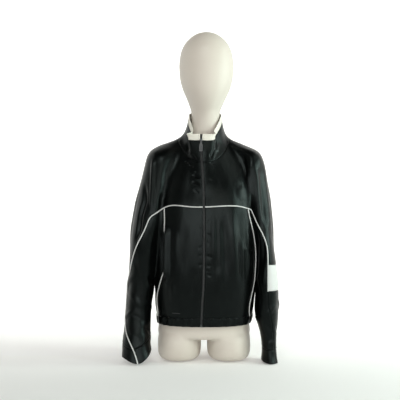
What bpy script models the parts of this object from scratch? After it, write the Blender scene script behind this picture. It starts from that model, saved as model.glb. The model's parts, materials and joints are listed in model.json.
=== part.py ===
"""Satin track jacket, zipped up, hanging on an armless display torso.

Metres, +Z up. The front faces -Y and the wearer's left side is +X. The whole garment is one net of
four-sided faces, worked out from the sections below. Each face belongs to a cut piece, and each
piece becomes a closed wall that stops short of its neighbours at the seams.
"""

import math
from bisect import bisect_right
from typing import NamedTuple

import bmesh
import bpy
import mathutils
import numpy as np

PART = "track_jacket"
HELPERS = "helpers"

# Cloth
WALL = 0.0016
SEAM_GAP = 0.0003
FRONT_OPENING = 0.0035  # from the middle of the zip to the edge of each front
SECTION_POWER = 2.5  # superellipse of the body's sections
SLEEVE_POWER = 2.2
HEM_TOP = 0.137
HEM_BOTTOM = 0.111
SPLIT_MIDDLE = 0.232  # height of the underarm's row at the front and back middles
WEB = 0.004  # cloth between body and sleeve at the underarm
HANG_GAP = 0.0045  # least clear space between body and sleeve, well below the underarm
CUFF_HEIGHT = 0.040
FLOOR = -0.006  # the stubs' flat bottoms

# Columns of the net on each side, counted from the front opening to the middle of the back
PIPED = 7  # side piping, where the front meets the side panel
VALLEY_FRONT = 9  # where the body meets the sleeve in front
SLEEVE_FRONT = 12  # piping down the sleeve
SLEEVE_BACK = 19  # back seam of the outer sleeve
VALLEY_BACK = 22
BACK_SEAM = 24
MIDDLE_BACK = 29
BRIDGE = 4  # columns over the inner side of the sleeve

UPPER_ROWS = 10
UNION_STEPS = (0.0, 0.13, 0.26, 0.39, 0.525, 0.658, 0.77, 0.885, 1.0)
BLOCK_TOP = 5  # row of UNION_STEPS at the top of the white block
BODY_ROWS = 5
SLEEVE_ROWS = 9
CUFF_ROWS = 2
COLLAR_STEPS = (0.0, 0.2, 0.4, 0.6, 0.8, 0.9, 1.0)
BINDING_FROM = 4  # step of COLLAR_STEPS where the binding starts

SIDES = {"left": 1.0, "right": -1.0}

# Hem band
HEM_PARTS = 68  # stretches on each half of the band
HEM_WAVE_POINTS = 4  # stretches to a gather
HEM_WAVE = 0.0011

# Piping
PIPING_WIDTH = 0.0036
PIPING_HEIGHT = 0.0028
PIPING_LIFT = 0.0004
PIPING_BRANCH = 0.0036  # from the chest piping's middle to the side piping's end
TUBE_SIDES = 6

# Zip
TAPE_WIDTH = 0.011
TAPE_THICKNESS = 0.0009
TAPE_SUNK = 0.0006  # between the fronts and the tapes behind them
CHAIN_WIDTH = 0.0054
CHAIN_RAISE = 0.0002
CHAIN_SHORT = 0.004  # the chain's top below the collar's
BOX_HEIGHT = 0.009
BOX_WIDTH = 0.0060
BOX_RAISE = 0.0010
SLIDER_Z = 0.6785
SLIDER_WIDTH = 0.0084
SLIDER_HEIGHT = 0.0125
SLIDER_PLATE = 0.0024
ARCH_LOW = -0.0030
ARCH_BAR = 0.0013
ARCH_OPEN = 0.0025
ARCH_REACH = 0.0032
ARCH_WIDTH = 0.0030
TAB_THICKNESS = 0.0017
TAB_TOP = 0.0068
TAB_LOW = 0.0105
TAB_LEG = 0.0012
TAB_SLOT = 0.0065
TAB_LENGTH = 0.034
TAB_ROUND = 0.0035
TAB_ARC = 8


class BodyRow(NamedTuple):
    """Section of the jacket's body: half widths to the wearer's left and right, and depths."""

    z: float
    left: float
    right: float
    front: float
    back: float


class SleeveRow(NamedTuple):
    """Section of a sleeve: its inner and outer reach in x, the y of its middle, and half its depth."""

    z: float
    inner: float
    outer: float
    middle: float
    depth: float


class SeamRow(NamedTuple):
    """Seams on a section: x of the side piping and of the back seam, y of the two valleys.

    join is how far the valleys have left the flat cloth at the chest, and front and back are the
    polar angles in degrees of the sleeve's two seams, from outward (0) over the front (90).
    """

    z: float
    piping: float
    back_seam: float
    valley_front: float
    valley_back: float
    join: float
    front: float
    back: float


class ColumnRow(NamedTuple):
    """What changes from column to column: the neck's angle, the chest seam's height and blends."""

    column: float
    neck: float
    chest_left: float
    chest_right: float
    shoulder: float
    blade: float
    split: float


class ProfileRow(NamedTuple):
    """Way from the neck to the chest seam: shares of the run outward and of the drop."""

    step: float
    out: float
    down: float


class CollarRow(NamedTuple):
    """Top edge of the collar, in the side's own x."""

    column: float
    x: float
    y: float
    z: float


class RimRow(NamedTuple):
    """Height of a cuff's edge round the sleeve, by polar angle."""

    angle: float
    z: float


class ZipRow(NamedTuple):
    """Sideways place of the zip's middle."""

    z: float
    x: float


class FoldRow(NamedTuple):
    """A soft ridge (or trough, below 0) between two points of the front (or back) as seen along y."""

    face: str
    x_top: float
    z_top: float
    x_low: float
    z_low: float
    half_width: float
    height: float


class TorsoRow(NamedTuple):
    """Section of the display torso."""

    z: float
    x: float
    half: float
    front: float
    back: float
    power: float


BODY = (
    BodyRow(0.105, 0.148, 0.150, 0.116, 0.111),
    BodyRow(0.137, 0.151, 0.151, 0.124, 0.116),
    BodyRow(0.170, 0.156, 0.152, 0.131, 0.120),
    BodyRow(0.250, 0.166, 0.150, 0.137, 0.122),
    BodyRow(0.360, 0.168, 0.147, 0.139, 0.122),
    BodyRow(0.480, 0.166, 0.148, 0.136, 0.120),
)
SLEEVES = {
    "left": (
        SleeveRow(-0.010, 0.170, 0.232, -0.066, 0.046),
        SleeveRow(0.040, 0.178, 0.230, -0.058, 0.050),
        SleeveRow(0.070, 0.176, 0.231, -0.053, 0.055),
        SleeveRow(0.120, 0.166, 0.233, -0.046, 0.064),
        SleeveRow(0.150, 0.157, 0.234, -0.043, 0.068),
        SleeveRow(0.210, 0.160, 0.234, -0.038, 0.076),
        SleeveRow(0.270, 0.164, 0.230, -0.034, 0.082),
        SleeveRow(0.350, 0.162, 0.219, -0.030, 0.086),
        SleeveRow(0.430, 0.154, 0.214, -0.027, 0.086),
        SleeveRow(0.480, 0.146, 0.211, -0.022, 0.084),
    ),
    "right": (
        SleeveRow(-0.010, 0.160, 0.262, -0.070, 0.046),
        SleeveRow(0.035, 0.160, 0.262, -0.062, 0.050),
        SleeveRow(0.060, 0.164, 0.260, -0.056, 0.054),
        SleeveRow(0.140, 0.163, 0.248, -0.045, 0.063),
        SleeveRow(0.175, 0.163, 0.246, -0.041, 0.067),
        SleeveRow(0.200, 0.153, 0.244, -0.039, 0.070),
        SleeveRow(0.300, 0.148, 0.235, -0.032, 0.079),
        SleeveRow(0.380, 0.136, 0.233, -0.028, 0.084),
        SleeveRow(0.430, 0.130, 0.227, -0.025, 0.085),
        SleeveRow(0.480, 0.126, 0.221, -0.021, 0.083),
    ),
}
SEAMS = {
    "left": (
        SeamRow(-0.010, 0.140, 0.118, -0.030, 0.030, 1.0, 42, -95),
        SeamRow(0.040, 0.140, 0.118, -0.030, 0.030, 1.0, 58, -95),
        SeamRow(0.137, 0.141, 0.119, -0.030, 0.030, 1.0, 80, -92),
        SeamRow(0.163, 0.138, 0.120, -0.030, 0.030, 1.0, 86, -90),
        SeamRow(0.210, 0.150, 0.121, -0.034, 0.032, 1.0, 91, -88),
        SeamRow(0.255, 0.156, 0.122, -0.044, 0.040, 1.0, 92, -84),
        SeamRow(0.290, 0.156, 0.122, -0.054, 0.050, 1.0, 91, -82),
        SeamRow(0.345, 0.156, 0.122, -0.064, 0.062, 0.90, 86, -79),
        SeamRow(0.390, 0.1505, 0.122, -0.074, 0.072, 0.70, 95, -76),
        SeamRow(0.430, 0.143, 0.121, -0.082, 0.080, 0.40, 109, -74),
        SeamRow(0.480, 0.134, 0.120, -0.088, 0.086, 0.10, 112, -72),
    ),
    "right": (
        SeamRow(-0.010, 0.148, 0.118, -0.038, 0.036, 1.0, 68, -95),
        SeamRow(0.040, 0.148, 0.118, -0.038, 0.036, 1.0, 42, -95),
        SeamRow(0.100, 0.148, 0.118, -0.038, 0.036, 1.0, 6, -93),
        SeamRow(0.165, 0.149, 0.119, -0.038, 0.036, 1.0, -13, -90),
        SeamRow(0.215, 0.1445, 0.119, -0.038, 0.036, 1.0, -14, -88),
        SeamRow(0.262, 0.1265, 0.118, -0.040, 0.038, 1.0, 12, -84),
        SeamRow(0.311, 0.119, 0.117, -0.052, 0.050, 1.0, 47, -81),
        SeamRow(0.359, 0.117, 0.116, -0.064, 0.062, 0.85, 72, -79),
        SeamRow(0.396, 0.117, 0.116, -0.072, 0.070, 0.65, 91, -77),
        SeamRow(0.433, 0.121, 0.115, -0.080, 0.078, 0.40, 100, -75),
        SeamRow(0.480, 0.125, 0.114, -0.086, 0.084, 0.10, 105, -73),
    ),
}
COLUMNS = (
    ColumnRow(0, 0.0, 0.479, 0.479, 0.0, 0.0, 0.0),
    ColumnRow(3, 20.0, 0.485, 0.483, 0.0, 0.0, 0.1),
    ColumnRow(5, 34.0, 0.485, 0.488, 0.02, 0.0, 0.4),
    ColumnRow(7, 48.0, 0.473, 0.4757, 0.22, 0.0, 0.8),
    ColumnRow(9, 58.0, 0.464, 0.460, 0.55, 0.0, 1.0),
    ColumnRow(12, 70.0, 0.447, 0.433, 0.95, 0.0, 1.0),
    ColumnRow(15.5, 90.0, 0.440, 0.430, 1.0, 0.0, 1.0),
    ColumnRow(19, 108.0, 0.442, 0.436, 0.95, 0.05, 1.0),
    ColumnRow(22, 122.0, 0.452, 0.450, 0.60, 0.40, 1.0),
    ColumnRow(24, 134.0, 0.462, 0.460, 0.30, 0.70, 0.8),
    ColumnRow(26.5, 156.0, 0.468, 0.468, 0.05, 0.95, 0.3),
    ColumnRow(29, 180.0, 0.470, 0.470, 0.0, 1.0, 0.0),
)
CHEST_PROFILE = (
    ProfileRow(0.0, 0.0, 0.0),
    ProfileRow(0.3, 0.40, 0.30),
    ProfileRow(0.6, 0.74, 0.60),
    ProfileRow(0.8, 0.90, 0.80),
    ProfileRow(1.0, 1.0, 1.0),
)
BLADE_PROFILE = (
    ProfileRow(0.0, 0.0, 0.0),
    ProfileRow(0.2, 0.45, 0.12),
    ProfileRow(0.4, 0.76, 0.30),
    ProfileRow(0.6, 0.93, 0.52),
    ProfileRow(0.8, 0.99, 0.76),
    ProfileRow(1.0, 1.0, 1.0),
)
SHOULDER_PROFILES = {
    "left": (
        ProfileRow(0.0, 0.0, 0.0),
        ProfileRow(0.2, 0.34, 0.065),
        ProfileRow(0.4, 0.63, 0.125),
        ProfileRow(0.5, 0.73, 0.185),
        ProfileRow(0.6, 0.80, 0.28),
        ProfileRow(0.7, 0.86, 0.41),
        ProfileRow(0.8, 0.91, 0.55),
        ProfileRow(0.9, 0.955, 0.76),
        ProfileRow(1.0, 1.0, 1.0),
    ),
    "right": (
        ProfileRow(0.0, 0.0, 0.0),
        ProfileRow(0.2, 0.34, 0.065),
        ProfileRow(0.4, 0.60, 0.125),
        ProfileRow(0.5, 0.68, 0.18),
        ProfileRow(0.6, 0.725, 0.27),
        ProfileRow(0.7, 0.785, 0.42),
        ProfileRow(0.8, 0.86, 0.57),
        ProfileRow(0.9, 0.94, 0.78),
        ProfileRow(1.0, 1.0, 1.0),
    ),
}
NECK_HALF = 0.0785
NECK_FRONT = 0.100
NECK_BACK = 0.070
NECK_FRONT_Z = 0.610
NECK_SIDE_Z = 0.692
NECK_BACK_Z = 0.710
COLLAR_FLARE = 0.55  # below 1, the collar's sides spread out only near the neckline
COLLAR_TOPS = {
    "left": (
        CollarRow(0, -0.0055, -0.0885, 0.700),
        CollarRow(2, 0.016, -0.0875, 0.700),
        CollarRow(3, 0.031, -0.0830, 0.701),
        CollarRow(4, 0.034, -0.0710, 0.705),
        CollarRow(5, 0.028, -0.0610, 0.711),
        CollarRow(6.5, 0.034, -0.0500, 0.722),
        CollarRow(9, 0.045, -0.0280, 0.748),
        CollarRow(13, 0.0505, 0.000, 0.770),
        CollarRow(18, 0.046, 0.026, 0.777),
        CollarRow(24, 0.027, 0.050, 0.784),
        CollarRow(29, 0.0, 0.058, 0.785),
    ),
    "right": (
        CollarRow(0, 0.0125, -0.0885, 0.700),
        CollarRow(2, 0.036, -0.0870, 0.700),
        CollarRow(3.2, 0.0535, -0.0810, 0.701),
        CollarRow(4.2, 0.046, -0.0700, 0.704),
        CollarRow(5.2, 0.034, -0.0600, 0.711),
        CollarRow(6.5, 0.037, -0.0490, 0.722),
        CollarRow(9, 0.046, -0.0270, 0.748),
        CollarRow(13, 0.0505, 0.000, 0.770),
        CollarRow(18, 0.046, 0.026, 0.777),
        CollarRow(24, 0.027, 0.050, 0.784),
        CollarRow(29, 0.0, 0.058, 0.785),
    ),
}
CUFF_RIMS = {
    "left": (
        RimRow(-180, 0.008),
        RimRow(-90, 0.010),
        RimRow(0, 0.004),
        RimRow(90, 0.003),
        RimRow(180, 0.008),
    ),
    "right": (
        RimRow(-180, 0.036),
        RimRow(-120, 0.040),
        RimRow(-60, 0.030),
        RimRow(0, 0.018),
        RimRow(50, 0.000),
        RimRow(75, -0.001),
        RimRow(120, 0.012),
        RimRow(150, 0.028),
        RimRow(180, 0.036),
    ),
}
ZIP_LINE = (
    ZipRow(0.105, -0.0100),
    ZipRow(0.180, -0.0080),
    ZipRow(0.250, -0.0035),
    ZipRow(0.400, -0.0030),
    ZipRow(0.520, -0.0060),
    ZipRow(0.640, -0.0100),
    ZipRow(0.700, -0.0090),
)
FOLDS = (
    FoldRow("front", 0.018, 0.455, 0.022, 0.215, 0.020, 0.006),
    FoldRow("front", 0.062, 0.440, 0.070, 0.225, 0.022, -0.005),
    FoldRow("front", 0.098, 0.430, 0.104, 0.200, 0.022, 0.006),
    FoldRow("front", -0.095, 0.440, -0.108, 0.300, 0.022, 0.006),
    FoldRow("front", -0.060, 0.430, -0.066, 0.240, 0.024, -0.004),
    FoldRow("front", 0.070, 0.630, 0.045, 0.560, 0.022, 0.005),
    FoldRow("front", -0.085, 0.630, -0.052, 0.555, 0.022, 0.005),
    FoldRow("front", -0.178, 0.630, -0.186, 0.480, 0.024, 0.006),
    FoldRow("front", 0.150, 0.610, 0.168, 0.500, 0.024, 0.005),
    FoldRow("front", -0.215, 0.300, -0.190, 0.150, 0.024, 0.005),
    FoldRow("back", 0.000, 0.600, 0.010, 0.330, 0.034, -0.006),
    FoldRow("back", 0.080, 0.560, 0.062, 0.200, 0.028, 0.006),
    FoldRow("back", -0.085, 0.550, -0.070, 0.210, 0.028, 0.006),
    FoldRow("back", 0.140, 0.600, 0.172, 0.470, 0.026, 0.006),
    FoldRow("back", -0.145, 0.600, -0.180, 0.470, 0.026, 0.006),
)


TORSO = (
    TorsoRow(0.058, 0.0, 0.1340, 0.088, 0.091, 2.4),
    TorsoRow(0.064, 0.0, 0.1430, 0.097, 0.100, 2.4),
    TorsoRow(0.078, 0.0, 0.1465, 0.101, 0.103, 2.4),
    TorsoRow(0.110, 0.0, 0.1435, 0.102, 0.103, 2.4),
    TorsoRow(0.160, 0.0, 0.1380, 0.098, 0.100, 2.4),
    TorsoRow(0.220, 0.0, 0.1280, 0.090, 0.090, 2.3),
    TorsoRow(0.300, 0.0, 0.1170, 0.082, 0.078, 2.3),
    TorsoRow(0.360, 0.0, 0.1160, 0.086, 0.078, 2.3),
    TorsoRow(0.430, 0.0, 0.1260, 0.097, 0.086, 2.3),
    TorsoRow(0.500, 0.0, 0.1400, 0.106, 0.094, 2.3),
    TorsoRow(0.560, 0.0, 0.1540, 0.091, 0.095, 2.3),
    TorsoRow(0.600, 0.0, 0.1640, 0.077, 0.090, 2.2),
    TorsoRow(0.630, 0.0, 0.1670, 0.063, 0.084, 2.1),
    TorsoRow(0.648, 0.0, 0.1640, 0.053, 0.078, 2.0),
    TorsoRow(0.660, 0.0, 0.1520, 0.045, 0.073, 2.0),
    TorsoRow(0.670, 0.0, 0.1320, 0.034, 0.068, 2.0),
    TorsoRow(0.680, 0.0, 0.0980, 0.026, 0.063, 2.0),
    TorsoRow(0.695, 0.0, 0.0570, 0.034, 0.058, 2.0),
    TorsoRow(0.715, 0.0, 0.0490, 0.041, 0.053, 2.0),
    TorsoRow(0.745, 0.0005, 0.0450, 0.043, 0.048, 2.0),
    TorsoRow(0.775, 0.001, 0.0455, 0.050, 0.046, 2.0),
    TorsoRow(0.798, 0.002, 0.0530, 0.062, 0.058, 2.0),
    TorsoRow(0.823, 0.003, 0.0625, 0.074, 0.080, 2.0),
    TorsoRow(0.850, 0.003, 0.0740, 0.081, 0.096, 2.0),
    TorsoRow(0.887, 0.003, 0.0825, 0.085, 0.105, 2.0),
    TorsoRow(0.925, 0.003, 0.0845, 0.085, 0.104, 2.0),
    TorsoRow(0.964, 0.003, 0.0800, 0.079, 0.095, 2.0),
    TorsoRow(0.990, 0.003, 0.0700, 0.068, 0.081, 2.0),
    TorsoRow(1.010, 0.003, 0.0540, 0.053, 0.062, 2.0),
    TorsoRow(1.023, 0.003, 0.0370, 0.037, 0.043, 2.0),
    TorsoRow(1.0305, 0.003, 0.0180, 0.018, 0.021, 2.0),
    TorsoRow(1.0325, 0.003, 0.0040, 0.004, 0.005, 2.0),
)
STUB = (
    TorsoRow(FLOOR, 0.0783, 0.0460, 0.068, 0.068, 2.3),
    TorsoRow(FLOOR + 0.003, 0.0783, 0.0575, 0.081, 0.081, 2.3),
    TorsoRow(FLOOR + 0.010, 0.0783, 0.0645, 0.090, 0.090, 2.3),
    TorsoRow(FLOOR + 0.022, 0.0783, 0.0680, 0.0955, 0.0955, 2.3),
    TorsoRow(0.040, 0.0783, 0.0690, 0.0975, 0.0975, 2.3),
    TorsoRow(0.064, 0.0783, 0.0680, 0.0970, 0.0970, 2.3),
    TorsoRow(0.080, 0.0783, 0.0630, 0.0900, 0.0900, 2.3),
)
TORSO_SIDES = 28
STUB_SIDES = 20


def read_off(rows, name, key):
    """Value of a named column at a key, on a smooth curve through the rows that never overshoots."""
    keys = [row[0] for row in rows]
    values = [getattr(row, name) for row in rows]
    if key <= keys[0]:
        return values[0]
    if key >= keys[-1]:
        return values[-1]
    slopes = [(values[i + 1] - values[i]) / (keys[i + 1] - keys[i]) for i in range(len(keys) - 1)]
    i = bisect_right(keys, key) - 1
    run = keys[i + 1] - keys[i]
    start = _joint_slope(slopes, i)
    end = _joint_slope(slopes, i + 1)
    t = (key - keys[i]) / run
    return (
        values[i] * (1 + 2 * t) * (1 - t) ** 2
        + start * run * t * (1 - t) ** 2
        + values[i + 1] * t * t * (3 - 2 * t)
        + end * run * t * t * (t - 1)
    )


def _joint_slope(slopes, i):
    """Slope at a row: the harmonic mean of its two neighbours, or 0 at a turn."""
    if i == 0:
        return slopes[0]
    if i == len(slopes):
        return slopes[-1]
    before, after = slopes[i - 1], slopes[i]
    if before * after <= 0:
        return 0.0
    return 2 * before * after / (before + after)


def ease(t):
    """Smooth step from 0 to 1."""
    t = min(1.0, max(0.0, t))
    return t * t * (3 - 2 * t)


def mix(a, b, t):
    """Straight blend of two values or points."""
    return a * (1 - t) + b * t


def powered(value, power):
    """Signed power."""
    return math.copysign(abs(value) ** power, value)


class Section:
    """Half of the body's section at a height, in the side's own x (outward is positive)."""

    def __init__(self, side, z):
        self.half = read_off(BODY, side, z)
        self.front = read_off(BODY, "front", z)
        self.back = read_off(BODY, "back", z)
        self.angles = np.linspace(-0.6, math.pi, 260)
        self.points = np.array([self.at(angle) for angle in self.angles])
        steps = np.linalg.norm(np.diff(self.points, axis=0), axis=1)
        self.lengths = np.concatenate([[0.0], np.cumsum(steps)])

    def at(self, angle):
        """Point at an angle, from the front (0) over the side (90 degrees) to the back."""
        x = self.half * powered(math.sin(angle), 2 / SECTION_POWER)
        cosine = powered(math.cos(angle), 2 / SECTION_POWER)
        y = -self.front * cosine if cosine > 0 else -self.back * cosine
        return np.array([x, y])

    def front_x(self, x):
        """Angle of the front's point at x."""
        share = min(0.985, abs(x) / self.half)
        return math.copysign(math.asin(share ** (SECTION_POWER / 2)), x)

    def back_x(self, x):
        """Angle of the back's point at x."""
        return math.pi - self.front_x(x)

    def front_y(self, y):
        """Angle of the side's point at y, in front of the middle."""
        return math.acos(min(1.0, abs(y) / self.front) ** (SECTION_POWER / 2))

    def back_y(self, y):
        """Angle of the side's point at y, behind the middle."""
        return math.pi - math.acos(min(1.0, abs(y) / self.back) ** (SECTION_POWER / 2))

    def between(self, start, end, share):
        """Point at a share of the way along the cloth between two angles."""
        length = np.interp([start, end], self.angles, self.lengths)
        return self.at(np.interp(mix(length[0], length[1], share), self.lengths, self.angles))

    def side_x(self, y):
        """x of the body's side at y."""
        depth = self.front if y < 0 else self.back
        share = min(1.0, abs(y) / depth)
        return self.half * (1 - share**SECTION_POWER) ** (1 / SECTION_POWER)


class Underarm:
    """Where body and sleeve meet at a height: both valleys and the seams next to them."""

    def __init__(self, side, z):
        self.section = Section(side, z)
        seams = SEAMS[side]
        sleeve = SLEEVES[side]
        self.inner = read_off(sleeve, "inner", z)
        self.outer = read_off(sleeve, "outer", z)
        self.middle = read_off(sleeve, "middle", z)
        self.depth = read_off(sleeve, "depth", z)
        self.centre = np.array([(self.inner + self.outer) / 2, self.middle])
        self.join = read_off(seams, "join", z)
        self.front_angle = math.radians(read_off(seams, "front", z))
        self.back_angle = math.radians(read_off(seams, "back", z))
        self.piping = self.section.front_x(read_off(seams, "piping", z))
        self.back_seam = self.section.back_x(read_off(seams, "back_seam", z))
        self.valley_front = self.section.front_y(read_off(seams, "valley_front", z))
        self.valley_back = self.section.back_y(read_off(seams, "valley_back", z))
        self.valley_front = max(self.valley_front, self.piping + 0.12)
        self.front_point = self._valley(self.piping, self.valley_front, self.front_angle)
        self.back_point = self._valley(self.back_seam, self.valley_back, self.back_angle)

    def _valley(self, seam, valley, sleeve_angle):
        """Valley point: on the body's side low down, near the flat chest cloth at the top."""
        on_body = self.section.at(valley)
        flat = mix(self.section.at(seam), self.ellipse(sleeve_angle), 0.5)
        return mix(flat, on_body, self.join)

    def ellipse(self, angle):
        """Point of the sleeve's own section at a polar angle."""
        half = (self.outer - self.inner) / 2
        c, s = math.cos(angle), math.sin(angle)
        radius = (abs(c / half) ** SLEEVE_POWER + abs(s / self.depth) ** SLEEVE_POWER) ** (-1 / SLEEVE_POWER)
        return self.centre + radius * np.array([c, -s])

    def polar(self, point):
        """Polar angle of a point about the sleeve's middle."""
        x, y = point - self.centre
        return math.atan2(-y, x)

    def sleeve(self, share_column):
        """Point of the sleeve between the valleys, at a column from VALLEY_FRONT to VALLEY_BACK."""
        starts = self.polar(self.front_point)
        ends = self.polar(self.back_point)
        if ends > 0:
            ends -= 2 * math.pi
        if starts < 0:
            starts += 2 * math.pi
        stops = (VALLEY_FRONT, SLEEVE_FRONT, SLEEVE_BACK, VALLEY_BACK)
        angles = (starts, self.front_angle, self.back_angle, ends)
        angle = float(np.interp(share_column, stops, angles))
        point = self.ellipse(angle)
        reach = math.radians(55)
        near_front = ease(1 - (starts - angle) / reach)
        near_back = ease(1 - (angle - ends) / reach)
        point = point + near_front * (self.front_point - self.ellipse(starts))
        return point + near_back * (self.back_point - self.ellipse(ends))


def zip_x(z):
    """x of the zip's middle."""
    return read_off(ZIP_LINE, "x", z)


def front_edge(side, z):
    """The front edge's place in the side's own x."""
    return SIDES[side] * zip_x(z) + FRONT_OPENING


def union_point(side, column, z):
    """Point of body and sleeve as one outline, at or above the underarm."""
    under = Underarm(side, z)
    section = under.section
    if column <= PIPED:
        start = section.front_x(front_edge(side, z))
        return section.between(start, under.piping, column / PIPED)
    if column < VALLEY_FRONT:
        share = (column - PIPED) / (VALLEY_FRONT - PIPED)
        point = section.between(under.piping, under.valley_front, share)
        return point + share**2 * (under.front_point - section.at(under.valley_front))
    if column <= VALLEY_BACK:
        return under.sleeve(column)
    if column < BACK_SEAM:
        share = (BACK_SEAM - column) / (BACK_SEAM - VALLEY_BACK)
        point = section.between(under.back_seam, under.valley_back, share)
        return point + share**2 * (under.back_point - section.at(under.valley_back))
    share = (column - BACK_SEAM) / (MIDDLE_BACK - BACK_SEAM)
    return section.between(under.back_seam, math.pi, share)


def neck_point(side, column):
    """Point of the neckline, where the collar is sewn on."""
    start = math.asin(front_edge(side, NECK_FRONT_Z) / NECK_HALF)
    angle = start * max(0.0, 1 - column / PIPED) + math.radians(read_off(COLUMNS, "neck", column))
    forward = math.cos(angle)
    x = NECK_HALF * math.sin(angle)
    if forward > 0:
        return np.array([x, -NECK_FRONT * forward, mix(NECK_SIDE_Z, NECK_FRONT_Z, forward**1.15)])
    return np.array([x, -NECK_BACK * forward, mix(NECK_SIDE_Z, NECK_BACK_Z, -forward)])


def chest_z(side, column):
    """Height of the chest seam, or of its row, at a column."""
    return read_off(COLUMNS, "chest_" + side, column)


def split_z(side, column):
    """Height of the row where body and sleeve part."""
    low = {"left": 0.210, "right": 0.250}[side]
    return mix(SPLIT_MIDDLE, low, read_off(COLUMNS, "split", column))


def upper_point(side, column, step):
    """Point of the yoke and shoulder, from the neckline (0) to the chest seam (1)."""
    top = neck_point(side, column)
    z = chest_z(side, column)
    low = np.append(union_point(side, column, z), z)
    shoulder = read_off(COLUMNS, "shoulder", column)
    blade = read_off(COLUMNS, "blade", column)
    shares = ((CHEST_PROFILE, 1 - shoulder - blade), (SHOULDER_PROFILES[side], shoulder), (BLADE_PROFILE, blade))
    out = sum(weight * read_off(rows, "out", step) for rows, weight in shares)
    down = sum(weight * read_off(rows, "down", step) for rows, weight in shares)
    plan = mix(top[:2], low[:2], out)
    height = mix(top[2], low[2], down)
    if column == 0:
        plan[0] = front_edge(side, height)
    return np.append(plan, height)


def body_tube_point(side, column, z):
    """Point of the body below the underarm; the bridge's columns count on from VALLEY_FRONT."""
    under = Underarm(side, z)
    section = under.section
    stops = (0, PIPED, VALLEY_FRONT, VALLEY_FRONT + BRIDGE, VALLEY_FRONT + BRIDGE + BACK_SEAM - VALLEY_BACK)
    last = stops[-1] + MIDDLE_BACK - BACK_SEAM
    start = section.front_x(front_edge(side, z))
    angles = (start, under.piping, under.valley_front, under.valley_back, under.back_seam, math.pi)
    lengths = np.interp(angles, section.angles, section.lengths)
    length = np.interp(column, stops + (last,), lengths)
    return section.at(np.interp(length, section.lengths, section.angles))


def sleeve_tube_point(side, column, z, split):
    """Point of the sleeve below the underarm, kept clear of the body."""
    under = Underarm(side, z)
    top = Underarm(side, split)
    starts = top.polar(top.front_point) % (2 * math.pi)
    ends = top.polar(top.back_point)
    stops = (VALLEY_FRONT, SLEEVE_FRONT, SLEEVE_BACK, VALLEY_BACK, VALLEY_BACK + BRIDGE)
    angles = (starts, under.front_angle, under.back_angle, ends, starts - 2 * math.pi)
    point = under.ellipse(float(np.interp(column, stops, angles)))
    fall = split - z
    gap = WEB * ease(fall / 0.015) + (HANG_GAP - WEB) * ease(fall / 0.07)
    point[0] = max(point[0], under.section.side_x(point[1]) + gap)
    return point


def rim_z(side, angle):
    """Height of the cuff's edge at a polar angle in degrees."""
    wrapped = (angle + 180) % 360 - 180
    return read_off(CUFF_RIMS[side], "z", wrapped)


class Net:
    """Points and four-sided faces of the garment, with the name of each face's piece."""

    def __init__(self):
        self.index = {}
        self.points = []
        self.faces = []
        self.pieces = []

    def point(self, key, place):
        """Number of the point with this key, which is placed when it is first asked for."""
        if key not in self.index:
            self.index[key] = len(self.points)
            self.points.append(np.array(place, float))
        return self.index[key]

    def face(self, piece, corners, side):
        """Add a face whose corners run the same way round on the left side."""
        corners = list(dict.fromkeys(corners))
        self.faces.append(corners if SIDES[side] > 0 else corners[::-1])
        self.pieces.append(piece)

    def grid(self, ids, name, side):
        """Add the faces between rows of point numbers; name gives a face's piece by column and row."""
        for row in range(len(ids) - 1):
            for column in range(len(ids[row]) - 1):
                corners = (
                    ids[row][column],
                    ids[row + 1][column],
                    ids[row + 1][column + 1],
                    ids[row][column + 1],
                )
                self.face(name(column, row), corners, side)

    def placed(self):
        """All points as one array."""
        return np.array(self.points)


def own(side, plan, z):
    """World point from a side's own plan point."""
    return (SIDES[side] * plan[0], plan[1], z)


def region(side, column):
    """Piece of the cloth below the chest seam and above the underarm, by column."""
    if column < PIPED:
        return "front_" + side
    if column < VALLEY_FRONT or VALLEY_BACK <= column < BACK_SEAM:
        return "side_" + side
    if column < SLEEVE_FRONT or SLEEVE_BACK <= column < VALLEY_BACK:
        return "under_sleeve_" + side
    if column < SLEEVE_BACK:
        return "upper_" + side
    return "back"


def shared(side, column, tag, row):
    """Key of a point; both sides share the points at the middle of the back."""
    return (tag, "both" if column == MIDDLE_BACK else side, column, row)


def add_upper(net, side):
    """Yoke, shoulder and upper back."""
    rows = []
    for row in range(UPPER_ROWS + 1):
        ids = []
        for column in range(MIDDLE_BACK + 1):
            x, y, z = upper_point(side, column, row / UPPER_ROWS)
            tag = "chest" if row == UPPER_ROWS else "upper"
            key = shared(side, column, tag, 0 if row == UPPER_ROWS else row)
            ids.append(net.point(key, (SIDES[side] * x, y, z)))
        rows.append(ids)
    net.grid(rows, lambda column, row: "back" if column >= BACK_SEAM else "upper_" + side, side)
    return rows[0]


def add_union(net, side):
    """Body and sleeve together, from the chest seam to the underarm."""
    rows = []
    for row, step in enumerate(UNION_STEPS):
        ids = []
        for column in range(MIDDLE_BACK + 1):
            z = mix(chest_z(side, column), split_z(side, column), step)
            key = shared(side, column, "chest" if row == 0 else "union", row)
            ids.append(net.point(key, own(side, union_point(side, column, z), z)))
        rows.append(ids)

    def name(column, row):
        block = side == "left" and row >= BLOCK_TOP and SLEEVE_FRONT <= column < SLEEVE_BACK
        return "sleeve_block_left" if block else region(side, column)

    net.grid(rows, name, side)
    return rows[-1]


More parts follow.
